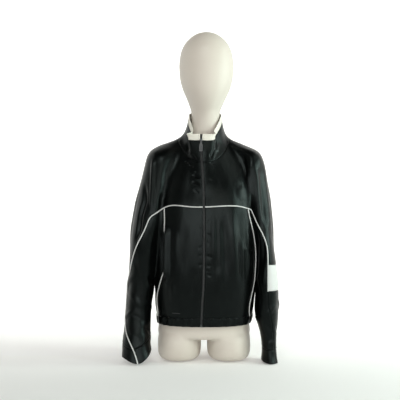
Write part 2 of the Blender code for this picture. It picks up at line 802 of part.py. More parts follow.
def add_body(net, side, last):
    """Body below the underarm; returns the underarm's points on the body."""
    valley_z = split_z(side, VALLEY_FRONT)
    bridge = []
    for step in range(1, BRIDGE):
        plan = body_tube_point(side, VALLEY_FRONT + step, valley_z)
        bridge.append(net.point(("bridge", side, step, 0), own(side, plan, valley_z)))
    top = last[: VALLEY_FRONT + 1] + bridge + last[VALLEY_BACK:]
    count = len(top)
    rows = [top]
    for row in range(1, BODY_ROWS + 1):
        ids = []
        for column in range(count):
            z = mix(net.points[top[column]][2], HEM_TOP, row / BODY_ROWS)
            key = ("body", "both" if column == count - 1 else side, column, row)
            ids.append(net.point(key, own(side, body_tube_point(side, column, z), z)))
        rows.append(ids)

    def name(column, _row):
        if column < PIPED:
            return "front_" + side
        if column < VALLEY_FRONT + BRIDGE + BACK_SEAM - VALLEY_BACK:
            return "side_" + side
        return "back"

    net.grid(rows, name, side)
    return [last[VALLEY_FRONT]] + bridge + [last[VALLEY_BACK]]


def add_sleeve(net, side, last, bridge):
    """Sleeve below the underarm, with its cuff; bridge is the underarm's line on the body."""
    split = split_z(side, VALLEY_FRONT)
    web = [bridge[0]]
    for step in range(1, BRIDGE):
        x, y, z = net.points[bridge[step]]
        web.append(net.point(("web", side, step, 0), (x + SIDES[side] * WEB, y, z)))
    web.append(bridge[-1])
    for step in range(BRIDGE):
        corners = (bridge[step], bridge[step + 1], web[step + 1], web[step])
        net.face("under_sleeve_" + side, corners, side)
    top = last[VALLEY_FRONT : VALLEY_BACK + 1] + web[-2:0:-1] + [last[VALLEY_FRONT]]
    count = len(top) - 1
    rows = [top]
    for row in range(1, SLEEVE_ROWS + CUFF_ROWS + 1):
        ids = []
        for column in range(count):
            plan = sleeve_tube_point(side, VALLEY_FRONT + column, 0.04, split)
            centre = Underarm(side, 0.04).polar(plan)
            low = rim_z(side, math.degrees(centre))
            if row <= SLEEVE_ROWS:
                z = mix(split, low + CUFF_HEIGHT, row / SLEEVE_ROWS)
            else:
                z = mix(low + CUFF_HEIGHT, low, (row - SLEEVE_ROWS) / CUFF_ROWS)
            place = own(side, sleeve_tube_point(side, VALLEY_FRONT + column, z, split), z)
            ids.append(net.point(("sleeve", side, column, row), place))
        rows.append(ids + ids[:1])

    def name(column, row):
        if row >= SLEEVE_ROWS:
            return "cuff_" + side
        if SLEEVE_FRONT <= VALLEY_FRONT + column < SLEEVE_BACK:
            return "sleeve_lower_left" if side == "left" else "upper_right"
        return "under_sleeve_" + side

    net.grid(rows, name, side)


def collar_point(side, column, step):
    """Point of the collar, from the neckline (0) to its top edge (1)."""
    low = neck_point(side, column)
    top = np.array([read_off(COLLAR_TOPS[side], name, column) for name in ("x", "y", "z")])
    height = mix(low[2], top[2], step)
    round_side = ease((column - 3) / 7)
    plan = mix(low[:2], top[:2], step ** mix(1.0, COLLAR_FLARE, round_side))
    if column == 0:
        plan[0] = front_edge(side, height)
    return np.append(plan, height)


def add_collar(net, side, base):
    """Stand-up collar with its bound edge."""
    rows = [base]
    for row, step in enumerate(COLLAR_STEPS[1:], 1):
        ids = []
        for column in range(MIDDLE_BACK + 1):
            x, y, z = collar_point(side, column, step)
            ids.append(net.point(shared(side, column, "collar", row), (SIDES[side] * x, y, z)))
        rows.append(ids)
    rows.reverse()
    last = len(rows) - 1

    def name(_column, row):
        return "collar" if last - row <= BINDING_FROM else "collar_binding"

    net.grid(rows, name, side)


def garment_net():
    """The whole net but the hem band."""
    net = Net()
    for side in SIDES:
        base = add_upper(net, side)
        last = add_union(net, side)
        bridge = add_body(net, side, last)
        add_sleeve(net, side, last, bridge)
        add_collar(net, side, base)
    return net


def face_normals(points, faces):
    """Unit normal of each face."""
    normals = np.zeros((len(faces), 3))
    for i, face in enumerate(faces):
        corners = points[face]
        if len(face) == 3:
            normals[i] = np.cross(corners[1] - corners[0], corners[2] - corners[0])
        else:
            normals[i] = np.cross(corners[2] - corners[0], corners[3] - corners[1])
    return normals / np.maximum(np.linalg.norm(normals, axis=1), 1e-12)[:, None]


def point_normals(points, faces):
    """Unit normal of each point, from the faces round it."""
    normals = face_normals(points, faces)
    total = np.zeros_like(points)
    for i, face in enumerate(faces):
        for at, corner in enumerate(face):
            before = points[face[at - 1]] - points[corner]
            after = points[face[(at + 1) % len(face)]] - points[corner]
            spread = np.dot(before, after) / (np.linalg.norm(before) * np.linalg.norm(after) + 1e-12)
            total[corner] += normals[i] * math.acos(max(-1.0, min(1.0, spread)))
    return total / np.maximum(np.linalg.norm(total, axis=1), 1e-12)[:, None]


def edge_uses(faces):
    """Faces on each edge, by the edge's two points in order of number."""
    uses = {}
    for i, face in enumerate(faces):
        for at, corner in enumerate(face):
            edge = tuple(sorted((corner, face[(at + 1) % len(face)])))
            uses.setdefault(edge, []).append(i)
    return uses


def smooth(points, faces, rounds, strength, keep):
    """Even out a net, leaving its open edges and the kept points where they are."""
    near = [set() for _ in points]
    uses = edge_uses(faces)
    fixed = np.zeros(len(points), bool)
    for (a, b), users in uses.items():
        near[a].add(b)
        near[b].add(a)
        if len(users) == 1:
            fixed[[a, b]] = True
    fixed[list(keep)] = True
    moving = np.flatnonzero(~fixed)
    for _ in range(rounds):
        means = np.array([points[list(near[i])].mean(axis=0) for i in moving])
        points[moving] = mix(points[moving], means, strength)


def fold_lift(fold, point, normal):
    """How far a fold moves a point along its normal."""
    facing = -normal[1] if fold.face == "front" else normal[1]
    if facing <= 0.15:
        return 0.0
    start = np.array([fold.x_top, fold.z_top])
    along = np.array([fold.x_low, fold.z_low]) - start
    length = np.linalg.norm(along)
    offset = point[[0, 2]] - start
    run = np.dot(offset, along) / length
    away = abs(offset[0] * along[1] - offset[1] * along[0]) / length
    if away >= fold.half_width or not 0 < run < length:
        return 0.0
    ends = ease(min(run, length - run) / (0.3 * length))
    return fold.height * math.cos(away / fold.half_width * math.pi / 2) ** 2 * ends * ease(facing / 0.5)


def apply_folds(points, faces, keep):
    """Raise the largest folds."""
    normals = point_normals(points, faces)
    for i in range(len(points)):
        if i not in keep:
            points[i] += normals[i] * sum(fold_lift(fold, points[i], normals[i]) for fold in FOLDS)


class Cloth:
    """A net at rest, ready to be cut into walls."""

    def __init__(self, net, points):
        self.points = points
        self.faces = net.faces
        self.index = net.index
        self.face_normals = face_normals(points, self.faces)
        self.normals = point_normals(points, self.faces)
        self.uses = edge_uses(self.faces)
        self.members = {}
        for i, piece in enumerate(net.pieces):
            self.members.setdefault(piece, []).append(i)
        total = np.zeros(len(points))
        count = np.zeros(len(points))
        for i, face in enumerate(self.faces):
            total[face] += self.normals[face] @ self.face_normals[i]
            count[face] += 1
        self.depths = 1 / np.maximum(0.75, total / np.maximum(count, 1))

    def users(self, corner, other):
        """Faces on the edge between two points."""
        return self.uses[tuple(sorted((corner, other)))]

    def borders(self, piece):
        """Face, start and end of each border edge of a piece, in the face's own direction."""
        inside = set(self.members[piece])
        for i in self.members[piece]:
            face = self.faces[i]
            for at, corner in enumerate(face):
                other = face[(at + 1) % len(face)]
                if sum(user in inside for user in self.users(corner, other)) == 1:
                    yield i, corner, other

    def seam_shifts(self, piece):
        """Move of each border point that keeps the piece half a gap from its seams."""
        pulls = {}
        for i, corner, other in self.borders(piece):
            inward = np.cross(self.face_normals[i], self.points[other] - self.points[corner])
            inward /= np.linalg.norm(inward)
            width = SEAM_GAP / 2 if len(self.users(corner, other)) > 1 else 0.0
            for end in (corner, other):
                pulls.setdefault(end, []).append((inward, width))
        shifts = {}
        for end, rows in pulls.items():
            matrix = np.array([row[0] for row in rows])
            widths = np.array([row[1] for row in rows])
            shift = np.linalg.lstsq(matrix, widths, rcond=0.2)[0]
            shifts[end] = shift * min(1.0, 1.2 * SEAM_GAP / max(np.linalg.norm(shift), 1e-9))
        return shifts

    def wall(self, piece, thickness=WALL, lift=0.0):
        """Closed wall of one piece: its faces outside, and the same faces one thickness deeper.

        The rims of two neighbours are cut along the same diagonals, so that they stay parallel.
        """
        shifts = self.seam_shifts(piece)
        used = sorted({corner for i in self.members[piece] for corner in self.faces[i]})
        number = {corner: at for at, corner in enumerate(used)}
        outer = [self.points[c] + shifts.get(c, 0.0) + self.normals[c] * lift for c in used]
        inner = [outer[number[c]] - self.normals[c] * self.depths[c] * thickness for c in used]
        shell = [[number[corner] for corner in self.faces[i]] for i in self.members[piece]]
        count = len(used)
        lining = [[corner + count for corner in reversed(face)] for face in shell]
        rims = []
        for _, corner, other in self.borders(piece):
            a, b = number[corner], number[other]
            if corner < other:
                rims += [[b, a, a + count], [b, a + count, b + count]]
            else:
                rims += [[b, a, b + count], [a, a + count, b + count]]
        mesh = bpy.data.meshes.new(piece)
        mesh.from_pydata([tuple(p) for p in outer + inner], [], shell + lining + rims)
        return mesh


def material(name, colour, roughness, metallic=0.0):
    """Plain Principled material."""
    made = bpy.data.materials.new(name)
    made.use_nodes = True
    shader = made.node_tree.nodes["Principled BSDF"]
    shader.inputs["Base Color"].default_value = (*colour, 1.0)
    shader.inputs["Roughness"].default_value = roughness
    shader.inputs["Metallic"].default_value = metallic
    made.diffuse_color = (*colour, 1.0)
    return made


BLACK = (0.012, 0.014, 0.015)
IVORY = (0.80, 0.78, 0.70)
WHITE = (0.90, 0.90, 0.88)
GUNMETAL = (0.16, 0.16, 0.17)


def add_object(name, mesh, parent, colour, roughness, metallic=0.0):
    """Link a mesh as a named object with its own material."""
    obj = bpy.data.objects.new(name, mesh)
    bpy.data.collections[PART].objects.link(obj)
    mesh.materials.append(material(name, colour, roughness, metallic))
    obj.parent = parent
    return obj


def jacket_cloth():
    """The garment's net, evened out and folded."""
    net = garment_net()
    points = net.placed()
    smooth(points, net.faces, rounds=2, strength=0.35, keep=())
    uses = edge_uses(net.faces)
    open_points = {corner for edge, users in uses.items() if len(users) == 1 for corner in edge}
    apply_folds(points, net.faces, open_points)
    return Cloth(net, points)


def build_panels(cloth, parent):
    """All cut pieces of the net."""
    colours = {"collar_binding": IVORY, "sleeve_block_left": WHITE}
    for piece in cloth.members:
        add_object(piece, cloth.wall(piece), parent, colours.get(piece, BLACK), 0.42)


def hem_point(side, share, z):
    """Point of the hem at a share of the way from the front edge to the middle of the back."""
    section = Section(side, z)
    start = section.front_x(front_edge(side, z))
    return np.array(own(side, section.between(start, math.pi, share), z))


def build_hem_band(parent):
    """Gathered casing round the hem, from one front edge round the back to the other."""
    net = Net()
    shares = [part / HEM_PARTS for part in range(HEM_PARTS + 1)]
    heights = (HEM_TOP - 2 * SEAM_GAP, mix(HEM_TOP, HEM_BOTTOM, 0.5), HEM_BOTTOM)
    rows = []
    for row, z in enumerate(heights):
        ring = [hem_point("left", share, z) for share in shares]
        ring += [hem_point("right", share, z) for share in shares[-2::-1]]
        ids = []
        for at, place in enumerate(ring):
            run = ring[min(at + 1, len(ring) - 1)] - ring[max(at - 1, 0)]
            outward = np.cross(run / np.linalg.norm(run), (0, 0, 1))
            edge = min(at, len(ring) - 1 - at)
            wave = math.cos(at * math.tau / HEM_WAVE_POINTS) * min(1.0, edge / HEM_WAVE_POINTS)
            ids.append(net.point((row, at), place + outward * HEM_WAVE * wave))
        rows.append(ids)
    net.grid(rows, lambda _column, _row: "hem_band", "left")
    cloth = Cloth(net, net.placed())
    add_object("hem_band", cloth.wall("hem_band"), parent, BLACK, 0.45)


def tube_mesh(name, centres, outs, half_width, half_height):
    """Closed tube of oval section along centres, standing up along outs."""
    centres = np.array(centres)
    outs = np.array(outs)
    along = np.gradient(centres, axis=0)
    along /= np.linalg.norm(along, axis=1)[:, None]
    across = np.cross(along, outs)
    across /= np.linalg.norm(across, axis=1)[:, None]
    up = np.cross(across, along)
    points = []
    for centre, side, top in zip(centres, across, up):
        for step in range(TUBE_SIDES):
            angle = (step + 0.5) * math.tau / TUBE_SIDES
            points.append(centre + side * half_width * math.cos(angle) + top * half_height * math.sin(angle))
    faces = []
    for ring in range(len(centres) - 1):
        for step in range(TUBE_SIDES):
            a = ring * TUBE_SIDES + step
            b = ring * TUBE_SIDES + (step + 1) % TUBE_SIDES
            faces.append((a, a + TUBE_SIDES, b + TUBE_SIDES, b))
    faces.append(tuple(range(TUBE_SIDES)))
    faces.append(tuple(len(points) - 1 - step for step in range(TUBE_SIDES)))
    mesh = bpy.data.meshes.new(name)
    mesh.from_pydata([tuple(p) for p in points], [], faces)
    return mesh


def piping_run(cloth, keys):
    """Centres of a piping's tube along points of the net, and the net's normals there."""
    ids = [cloth.index[key] for key in keys]
    outs = [cloth.normals[i] for i in ids]
    lift = PIPING_LIFT + PIPING_HEIGHT / 2
    centres = [cloth.points[i] + out * lift for i, out in zip(ids, outs)]
    return centres, outs


def shorten(centres, outs, start, end):
    """Take lengths off both ends of a run."""
    centres = [np.array(c) for c in centres]
    first = centres[1] - centres[0]
    last = centres[-2] - centres[-1]
    centres[0] = centres[0] + first / np.linalg.norm(first) * start
    centres[-1] = centres[-1] + last / np.linalg.norm(last) * end
    return centres, outs


def build_piping(cloth, parent):
    """White piping: chest seam and sleeve, and down each side of the body."""
    for side in SIDES:
        keys = [("chest", side, column, 0) for column in range(SLEEVE_FRONT + 1)]
        keys += [("union", side, SLEEVE_FRONT, row) for row in range(1, len(UNION_STEPS))]
        if side == "right":
            column = SLEEVE_FRONT - VALLEY_FRONT
            keys += [("sleeve", side, column, row) for row in range(1, SLEEVE_ROWS + CUFF_ROWS + 1)]
        centres, outs = shorten(*piping_run(cloth, keys), 0.0005, 0.0005)
        name = "chest_piping_" + side
        mesh = tube_mesh(name, centres, outs, PIPING_WIDTH / 2, PIPING_HEIGHT / 2)
        add_object(name, mesh, parent, WHITE, 0.45)
        keys = [("chest", side, PIPED, 0)]
        keys += [("union", side, PIPED, row) for row in range(1, len(UNION_STEPS))]
        keys += [("body", side, PIPED, row) for row in range(1, BODY_ROWS + 1)]
        centres, outs = shorten(*piping_run(cloth, keys), PIPING_BRANCH, 0.0006)
        name = "side_piping_" + side
        mesh = tube_mesh(name, centres, outs, PIPING_WIDTH / 2, PIPING_HEIGHT / 2)
        add_object(name, mesh, parent, WHITE, 0.45)


class ZipLine:
    """The two front edges from the collar's top to the hem, with the zip's middle between them."""

    def __init__(self, cloth):
        self.edges = {side: self._column(cloth, side, 0) for side in SIDES}
        self.inner = {side: self._column(cloth, side, 1) for side in SIDES}
        left, right = self.edges["left"], self.edges["right"]
        self.middle = [(a[0] + b[0]) / 2 for a, b in zip(left, right)]
        self.outs = [(a[1] + b[1]) / 2 for a, b in zip(left, right)]
        self.outs = [out / np.linalg.norm(out) for out in self.outs]

    @staticmethod
    def _column(cloth, side, column):
        """Points and normals down one column, and down to the hem's bottom."""
        keys = [("collar", side, column, row) for row in range(len(COLLAR_STEPS) - 1, 0, -1)]
        keys += [("upper", side, column, row) for row in range(UPPER_ROWS)]
        keys += [("chest", side, column, 0)]
        keys += [("union", side, column, row) for row in range(1, len(UNION_STEPS))]
        keys += [("body", side, column, row) for row in range(1, BODY_ROWS + 1)]
        run = [(cloth.points[cloth.index[key]], cloth.normals[cloth.index[key]]) for key in keys]
        plan = body_tube_point(side, float(column), HEM_BOTTOM)
        run.append((np.array(own(side, plan, HEM_BOTTOM)), run[-1][1]))
        return run

    def at(self, z):
        """Point and outward normal of the zip's middle at a height."""
        heights = [point[2] for point in self.middle][::-1]
        place = [np.interp(z, heights, [point[i] for point in self.middle][::-1]) for i in range(3)]
        out = [np.interp(z, heights, [out[i] for out in self.outs][::-1]) for i in range(3)]
        return np.array(place), np.array(out) / np.linalg.norm(out)


def strip_mesh(name, rows, thickness):
    """Wall through rows of points: the points lie on its outer side."""
    net = Net()
    ids = [[net.point((row, at), place) for at, place in enumerate(places)] for row, places in enumerate(rows)]
    net.grid(ids, lambda _column, _row: name, "left")
    return Cloth(net, net.placed()).wall(name, thickness)


def build_zip(line, parent):
    """Tapes behind the fronts, the closed chain and the box at its foot."""
    for side, sign in SIDES.items():
        rows = []
        for at, middle in enumerate(line.middle):
            edge, edge_out = line.edges[side][at]
            inner, inner_out = line.inner[side][at]
            share = min(0.9, (TAPE_WIDTH - FRONT_OPENING) / np.linalg.norm(inner - edge))
            sunk = -(WALL + TAPE_SUNK)
            start = middle + np.array([sign * SEAM_GAP / 2, 0, 0]) + line.outs[at] * sunk
            under = mix(edge, inner, share) + mix(edge_out, inner_out, share) * sunk * 1.15
            row = [start, edge + edge_out * sunk * 1.05, under]
            rows.append(row if sign > 0 else row[::-1])
        add_object("zip_tape_" + side, strip_mesh("zip_tape_" + side, rows, TAPE_THICKNESS), parent, BLACK, 0.6)
    rows = []
    chain_top = line.middle[0][2] - CHAIN_SHORT
    heights = [chain_top] + [p[2] for p in line.middle[1:-1] if HEM_BOTTOM + BOX_HEIGHT + 0.012 < p[2] < chain_top]
    heights.append(HEM_BOTTOM + BOX_HEIGHT + SEAM_GAP)
    for z in heights:
        place, out = line.at(z)
        across = np.array([CHAIN_WIDTH / 2, 0, 0])
        raised = place + out * CHAIN_RAISE
        rows.append([raised - across, raised + across])
    add_object("zip_chain", strip_mesh("zip_chain", rows, WALL + CHAIN_RAISE), parent, (0.10, 0.11, 0.115), 0.5)
    rows = []
    for z in (HEM_BOTTOM + BOX_HEIGHT, HEM_BOTTOM + 0.0004):
        place, out = line.at(z)
        across = np.array([BOX_WIDTH / 2, 0, 0])
        raised = place + out * BOX_RAISE
        rows.append([raised - across, raised + across])
    add_object("zip_box", strip_mesh("zip_box", rows, WALL + BOX_RAISE), parent, GUNMETAL, 0.4, 0.6)


def box_mesh(name, low, high):
    """Box between two corners."""
    points = [(x, y, z) for x in (low[0], high[0]) for y in (low[1], high[1]) for z in (low[2], high[2])]
    faces = [(0, 1, 3, 2), (4, 6, 7, 5), (0, 4, 5, 1), (2, 3, 7, 6), (0, 2, 6, 4), (1, 5, 7, 3)]
    mesh = bpy.data.meshes.new(name)
    mesh.from_pydata(points, [], faces)
    return mesh


def join(base, mesh, frame):
    """Join a helper's solid to an object that is placed in the same frame."""
    helper = bpy.data.objects.new(mesh.name, mesh)
    bpy.data.collections[HELPERS].objects.link(helper)
    helper.display_type = "WIRE"
    helper.parent = base.parent
    helper.matrix_local = frame
    union = base.modifiers.new("join_" + mesh.name, "BOOLEAN")
    union.operation = "UNION"
    union.solver = "EXACT"
    union.object = helper


def slider_frame(line):
    """Frame on the zip's face: x across, -y outward and z up along the zip."""
    place, out = line.at(SLIDER_Z)
    above, _ = line.at(SLIDER_Z + 0.010)
    below, _ = line.at(SLIDER_Z - 0.030)
    up = (above - below) / np.linalg.norm(above - below)
    out = out - up * np.dot(out, up)
    out /= np.linalg.norm(out)
    across = np.cross(-out, up)
    axes = np.column_stack((across, -out, up))
    return mathutils.Matrix.Translation(place) @ mathutils.Matrix(axes.tolist()).to_4x4()


def build_slider(line, parent):
    """Slider plate with an arch, and the pull tab hanging from the arch by its crossbar."""
    frame = slider_frame(line)
    half = SLIDER_WIDTH / 2
    low = -(CHAIN_RAISE + SEAM_GAP)
    top = low - SLIDER_PLATE
    arch = top - ARCH_OPEN - ARCH_BAR
    plate = box_mesh("zip_slider", (-half, top, -SLIDER_HEIGHT / 2), (half, low, SLIDER_HEIGHT / 2))
    slider = add_object("zip_slider", plate, parent, GUNMETAL, 0.35, 0.8)
    slider.matrix_local = frame
    span = (ARCH_LOW, ARCH_LOW + 2 * ARCH_BAR + ARCH_REACH)
    sides = ARCH_WIDTH / 2
    overlap = 0.0006
    posts = (("arch_low", span[0]), ("arch_high", span[1] - ARCH_BAR))
    for name, foot in posts:
        join(slider, box_mesh(name, (-sides, arch, foot), (sides, top + overlap, foot + ARCH_BAR)), frame)
    inset = 0.0002
    bar = box_mesh(
        "arch_bar", (-sides + inset, arch + inset, span[0] + inset), (sides - inset, arch + ARCH_BAR, span[1] - inset)
    )
    join(slider, bar, frame)
    axis = mathutils.Vector((0.0, top - ARCH_OPEN / 2, (span[0] + span[1]) / 2))
    tab = add_object("pull_tab", tab_mesh(), parent, GUNMETAL, 0.4, 0.8)
    hinge = frame @ mathutils.Matrix.Translation(axis)
    tab.matrix_local = hinge
    bar = bpy.data.meshes.new("crossbar")
    shape = bmesh.new()
    turn = mathutils.Matrix.Rotation(math.pi / 2, 4, "Y")
    bmesh.ops.create_cone(
        shape,
        cap_ends=True,
        segments=10,
        radius1=TAB_THICKNESS / 2,
        radius2=TAB_THICKNESS / 2,
        depth=TAB_TOP - 0.0004,
        matrix=turn,
    )
    shape.to_mesh(bar)
    shape.free()
    join(tab, bar, hinge)


def tab_mesh():
    """Flat tab with an open slot at its top, hanging down from the origin."""
    inside = TAB_TOP / 2 - TAB_LEG
    shoulder = -TAB_SLOT - 0.003
    right = [(TAB_TOP / 2, 0.0), (TAB_TOP / 2, shoulder), (TAB_LOW / 2, shoulder - 0.004)]
    arc = []
    for step in range(TAB_ARC + 1):
        angle = -step * math.pi / TAB_ARC
        arc.append((TAB_LOW / 2 * math.cos(angle), TAB_ROUND - TAB_LENGTH + TAB_ROUND * math.sin(angle)))
    left = [(-x, z) for x, z in reversed(right)]
    slot = [(-inside, 0.0), (-inside, -TAB_SLOT), (inside, -TAB_SLOT), (inside, 0.0)]
    outline = right + arc + left + slot
    half = TAB_THICKNESS / 2 - 0.0001
    count = len(outline)
    points = [(x, -half, z) for x, z in outline] + [(x, half, z) for x, z in outline]
    faces = [tuple(reversed(range(count))), tuple(range(count, 2 * count))]
    faces += [(i, (i + 1) % count, (i + 1) % count + count, i + count) for i in range(count)]
    mesh = bpy.data.meshes.new("pull_tab")
    mesh.from_pydata(points, [], faces)
    return mesh


def build_torso(parent):
    """Egg head, neck, trunk and two thigh stubs with flat bottoms."""
    base = add_object("display_torso", ring_solid("display_torso", TORSO, TORSO_SIDES), parent, IVORY, 0.45)
    for side, sign in SIDES.items():
        rings = [row._replace(x=sign * row.x) for row in STUB]
        join(base, ring_solid("stub_" + side, rings, STUB_SIDES), mathutils.Matrix.Identity(4))


def ring_solid(name, rings, sides):
    """Closed solid through level rings, given from the bottom up, flat at both ends."""
    points = []
    for z, x, half, front, back, power in rings:
        for step in range(sides):
            angle = step * math.tau / sides
            s = powered(math.sin(angle), 2 / power)
            c = powered(math.cos(angle), 2 / power)
            points.append((x + half * s, -(front if c > 0 else back) * c, z))
    faces = []
    for ring in range(len(rings) - 1):
        for step in range(sides):
            a = ring * sides + step
            b = ring * sides + (step + 1) % sides
            faces.append((a, b, b + sides, a + sides))
    faces.append(tuple(reversed(range(sides))))
    faces.append(tuple(range(len(points) - sides, len(points))))
    mesh = bpy.data.meshes.new(name)
    mesh.from_pydata(points, [], faces)
    return mesh


def stand_on_origin(root):
    """Move the whole part so that the middle of its box's bottom is the world's origin."""
    bpy.context.view_layer.update()
    graph = bpy.context.evaluated_depsgraph_get()
    corners = []
    for obj in bpy.data.collections[PART].objects:
        if obj.type == "MESH":
            made = obj.evaluated_get(graph)
            corners += [tuple(obj.matrix_world @ vertex.co) for vertex in made.data.vertices]
    low = np.min(corners, axis=0)
    high = np.max(corners, axis=0)
    root.location = (-(low[0] + high[0]) / 2, -(low[1] + high[1]) / 2, -low[2])


def main():
    """Build the whole part."""
    for obj in list(bpy.data.objects):
        bpy.data.objects.remove(obj, do_unlink=True)
    for name in (PART, HELPERS):
        bpy.context.scene.collection.children.link(bpy.data.collections.new(name))
    bpy.data.collections[HELPERS].hide_render = True
    root = bpy.data.objects.new("part_origin", None)
    bpy.data.collections[PART].objects.link(root)
    cloth = jacket_cloth()
    build_panels(cloth, root)
    build_hem_band(root)
    build_piping(cloth, root)
    line = ZipLine(cloth)
    build_zip(line, root)
    build_slider(line, root)
    build_torso(root)
    stand_on_origin(root)


main()
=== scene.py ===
"""Satin track jacket, zipped up, hanging on an armless display torso: the dressed model.

Metres, +Z up, front towards -Y, the wearer's left side at +X. The cloth is worked out in the jacket's
own coordinates, where x = 0 is the middle of the torso, and each mesh is moved into the model's frame
when it is made. One net of four-sided faces carries every cut piece: it is rounded, creased, and then
cut into thin shells along the seams.
"""

import json
import logging
import math
from bisect import bisect_right
from collections.abc import Callable
from dataclasses import dataclass, field
from enum import Enum
from functools import lru_cache

import bmesh
import bpy
import numpy as np
from mathutils import Matrix, Vector, bvhtree, noise


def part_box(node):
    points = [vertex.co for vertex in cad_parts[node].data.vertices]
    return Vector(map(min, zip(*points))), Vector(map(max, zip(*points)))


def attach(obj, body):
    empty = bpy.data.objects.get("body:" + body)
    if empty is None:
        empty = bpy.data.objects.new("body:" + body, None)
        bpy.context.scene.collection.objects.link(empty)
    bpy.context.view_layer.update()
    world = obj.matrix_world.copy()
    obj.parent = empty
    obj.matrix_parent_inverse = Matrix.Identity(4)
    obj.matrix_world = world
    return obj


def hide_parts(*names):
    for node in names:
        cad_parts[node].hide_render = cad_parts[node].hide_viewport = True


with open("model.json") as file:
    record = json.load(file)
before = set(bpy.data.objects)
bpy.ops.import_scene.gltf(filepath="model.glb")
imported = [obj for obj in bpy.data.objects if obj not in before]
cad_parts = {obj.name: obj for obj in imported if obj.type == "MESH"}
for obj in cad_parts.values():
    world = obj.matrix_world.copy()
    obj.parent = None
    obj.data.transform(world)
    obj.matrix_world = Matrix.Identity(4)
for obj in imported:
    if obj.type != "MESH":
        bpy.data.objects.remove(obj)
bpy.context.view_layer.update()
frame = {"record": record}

LOG = logging.getLogger("track_jacket")
Array = np.ndarray
Key = tuple[str, str, int, int]

FRONT_OPENING = 0.0035  # from the middle of the zip to the edge of each front
SECTION_POWER = 2.5  # superellipse of the body's sections
SECTION_START = -0.6  # radians; they are measured from a little past the middle of the front
SECTION_POINTS = 260
FRONT_MOST = 0.985  # share of the half width up to which the front is read by its x
SLEEVE_POWER = 2.2  # superellipse of the sleeves' sections
HEM_TOP = 0.137  # heights of the hem band's edges
HEM_BOTTOM = 0.111
SPLIT_MIDDLE = 0.232  # height of the underarm's row at the front and back middles
SPLIT_SIDE = {"left": 0.2165, "right": 0.250}
WEB = 0.0008  # cloth between body and sleeve at the underarm
HANG_GAP = 0.0045  # between them where the sleeve hangs clear
CLINGS = 0.068  # how far below the underarm the sleeve still lies against the body
LETS_GO = 0.04  # height over which it then comes clear
CUFF_HEIGHT = 0.040
FLOOR = -0.006  # height that the form stands on
TORSO_CORNER = (-0.167, -0.106, FLOOR)  # lowest corner of the torso's box
SWEEP_DROP = 0.0005  # of the pale floor under the form

# Columns of the net on each side, from the front opening to the middle of the back
PIPED = 7
VALLEY_FRONT = 9
SLEEVE_FRONT = 12
SLEEVE_BACK = 19
VALLEY_BACK = 22
BACK_SEAM = 24
MIDDLE_BACK = 29
BRIDGE = 4  # further columns of the body, and of the sleeve, between the valleys below the underarm
BODY_COLUMNS = VALLEY_FRONT + BRIDGE + MIDDLE_BACK - VALLEY_BACK
BODY_BACK_SEAM = BODY_COLUMNS - MIDDLE_BACK + BACK_SEAM

# Its rows: neckline to chest seam, on to the underarm, to the hem, to the cuff, the cuff, the collar
UPPER_ROWS = 10
UNION_STEPS = (0.0, 0.13, 0.26, 0.39, 0.525, 0.658, 0.77, 0.885, 1.0)
BLOCK_TOP = 5  # row of the union at which the sleeve's white block starts
BODY_ROWS = 5
SLEEVE_ROWS = 9
CUFF_ROWS = 2
COLLAR_STEPS = (0.0, 0.2, 0.4, 0.6, 0.8, 0.9, 1.0)
BINDING_FROM = 4  # step of the collar at which its binding starts

NECK_HALF = 0.0785  # the neckline's half width, depths and heights
NECK_FRONT = 0.100
NECK_BACK = 0.070
NECK_FRONT_Z = 0.610
NECK_SIDE_Z = 0.692
NECK_BACK_Z = 0.710
NECK_DIP = 1.15  # power of its fall towards the front
COLLAR_FLARE = 0.55  # power of the collar's lean outwards, below 1 where it leans at its foot
FLARE_COLUMNS = 3  # after the first, over which that lean comes in
VALLEY_CLEAR = 0.12  # radians of section, at least, from the piping to the valley
BLEND_REACH = 55  # degrees of sleeve over which it turns into a valley
NET_EVENING = 0.35  # share of each point's move towards its neighbours' mean, as the net is evened
EVENING_ROUNDS = 2

SIDES = {"left": 1.0, "right": -1.0}


class Table:
    """Rows of named columns, read off along the first one on a smooth curve that never overshoots."""

    def __init__(self, names: str, *rows: tuple[float, ...]) -> None:
        """Sort the rows into columns and work out each column's slopes.

        Args:
            names: the columns' names, apart by spaces.
            rows: the rows, in order of the first column.
        """
        self.keys = [row[0] for row in rows]
        self.columns = {name: [row[at] for row in rows] for at, name in enumerate(names.split())}
        self.slopes = {name: self._slopes(values) for name, values in self.columns.items()}

    def _slopes(self, values: list[float]) -> list[float]:
        """Slope at each row: the harmonic mean of both sides, or 0 at a turn.

        Args:
            values: the column's values.

        Returns:
            One slope for each row.
        """
        steps = [(b - a) / (j - i) for a, b, i, j in zip(values, values[1:], self.keys, self.keys[1:])]
        inner = [0.0 if a * b <= 0 else 2 * a * b / (a + b) for a, b in zip(steps, steps[1:])]
        return [steps[0]] + inner + [steps[-1]]

    def read(self, name: str, key: float) -> float:
        """Value of a column at a key.

        Args:
            name: the column.
            key: a place along the first column.

        Returns:
            The value there, or the nearest row's beyond the ends.
        """
        values = self.columns[name]
        if key <= self.keys[0]:
            return values[0]
        if key >= self.keys[-1]:
            return values[-1]
        i = bisect_right(self.keys, key) - 1
        run = self.keys[i + 1] - self.keys[i]
        t = (key - self.keys[i]) / run
        return (
            values[i] * (1 + 2 * t) * (1 - t) ** 2
            + self.slopes[name][i] * run * t * (1 - t) ** 2
            + values[i + 1] * t * t * (3 - 2 * t)
            + self.slopes[name][i + 1] * run * t * t * (t - 1)
        )


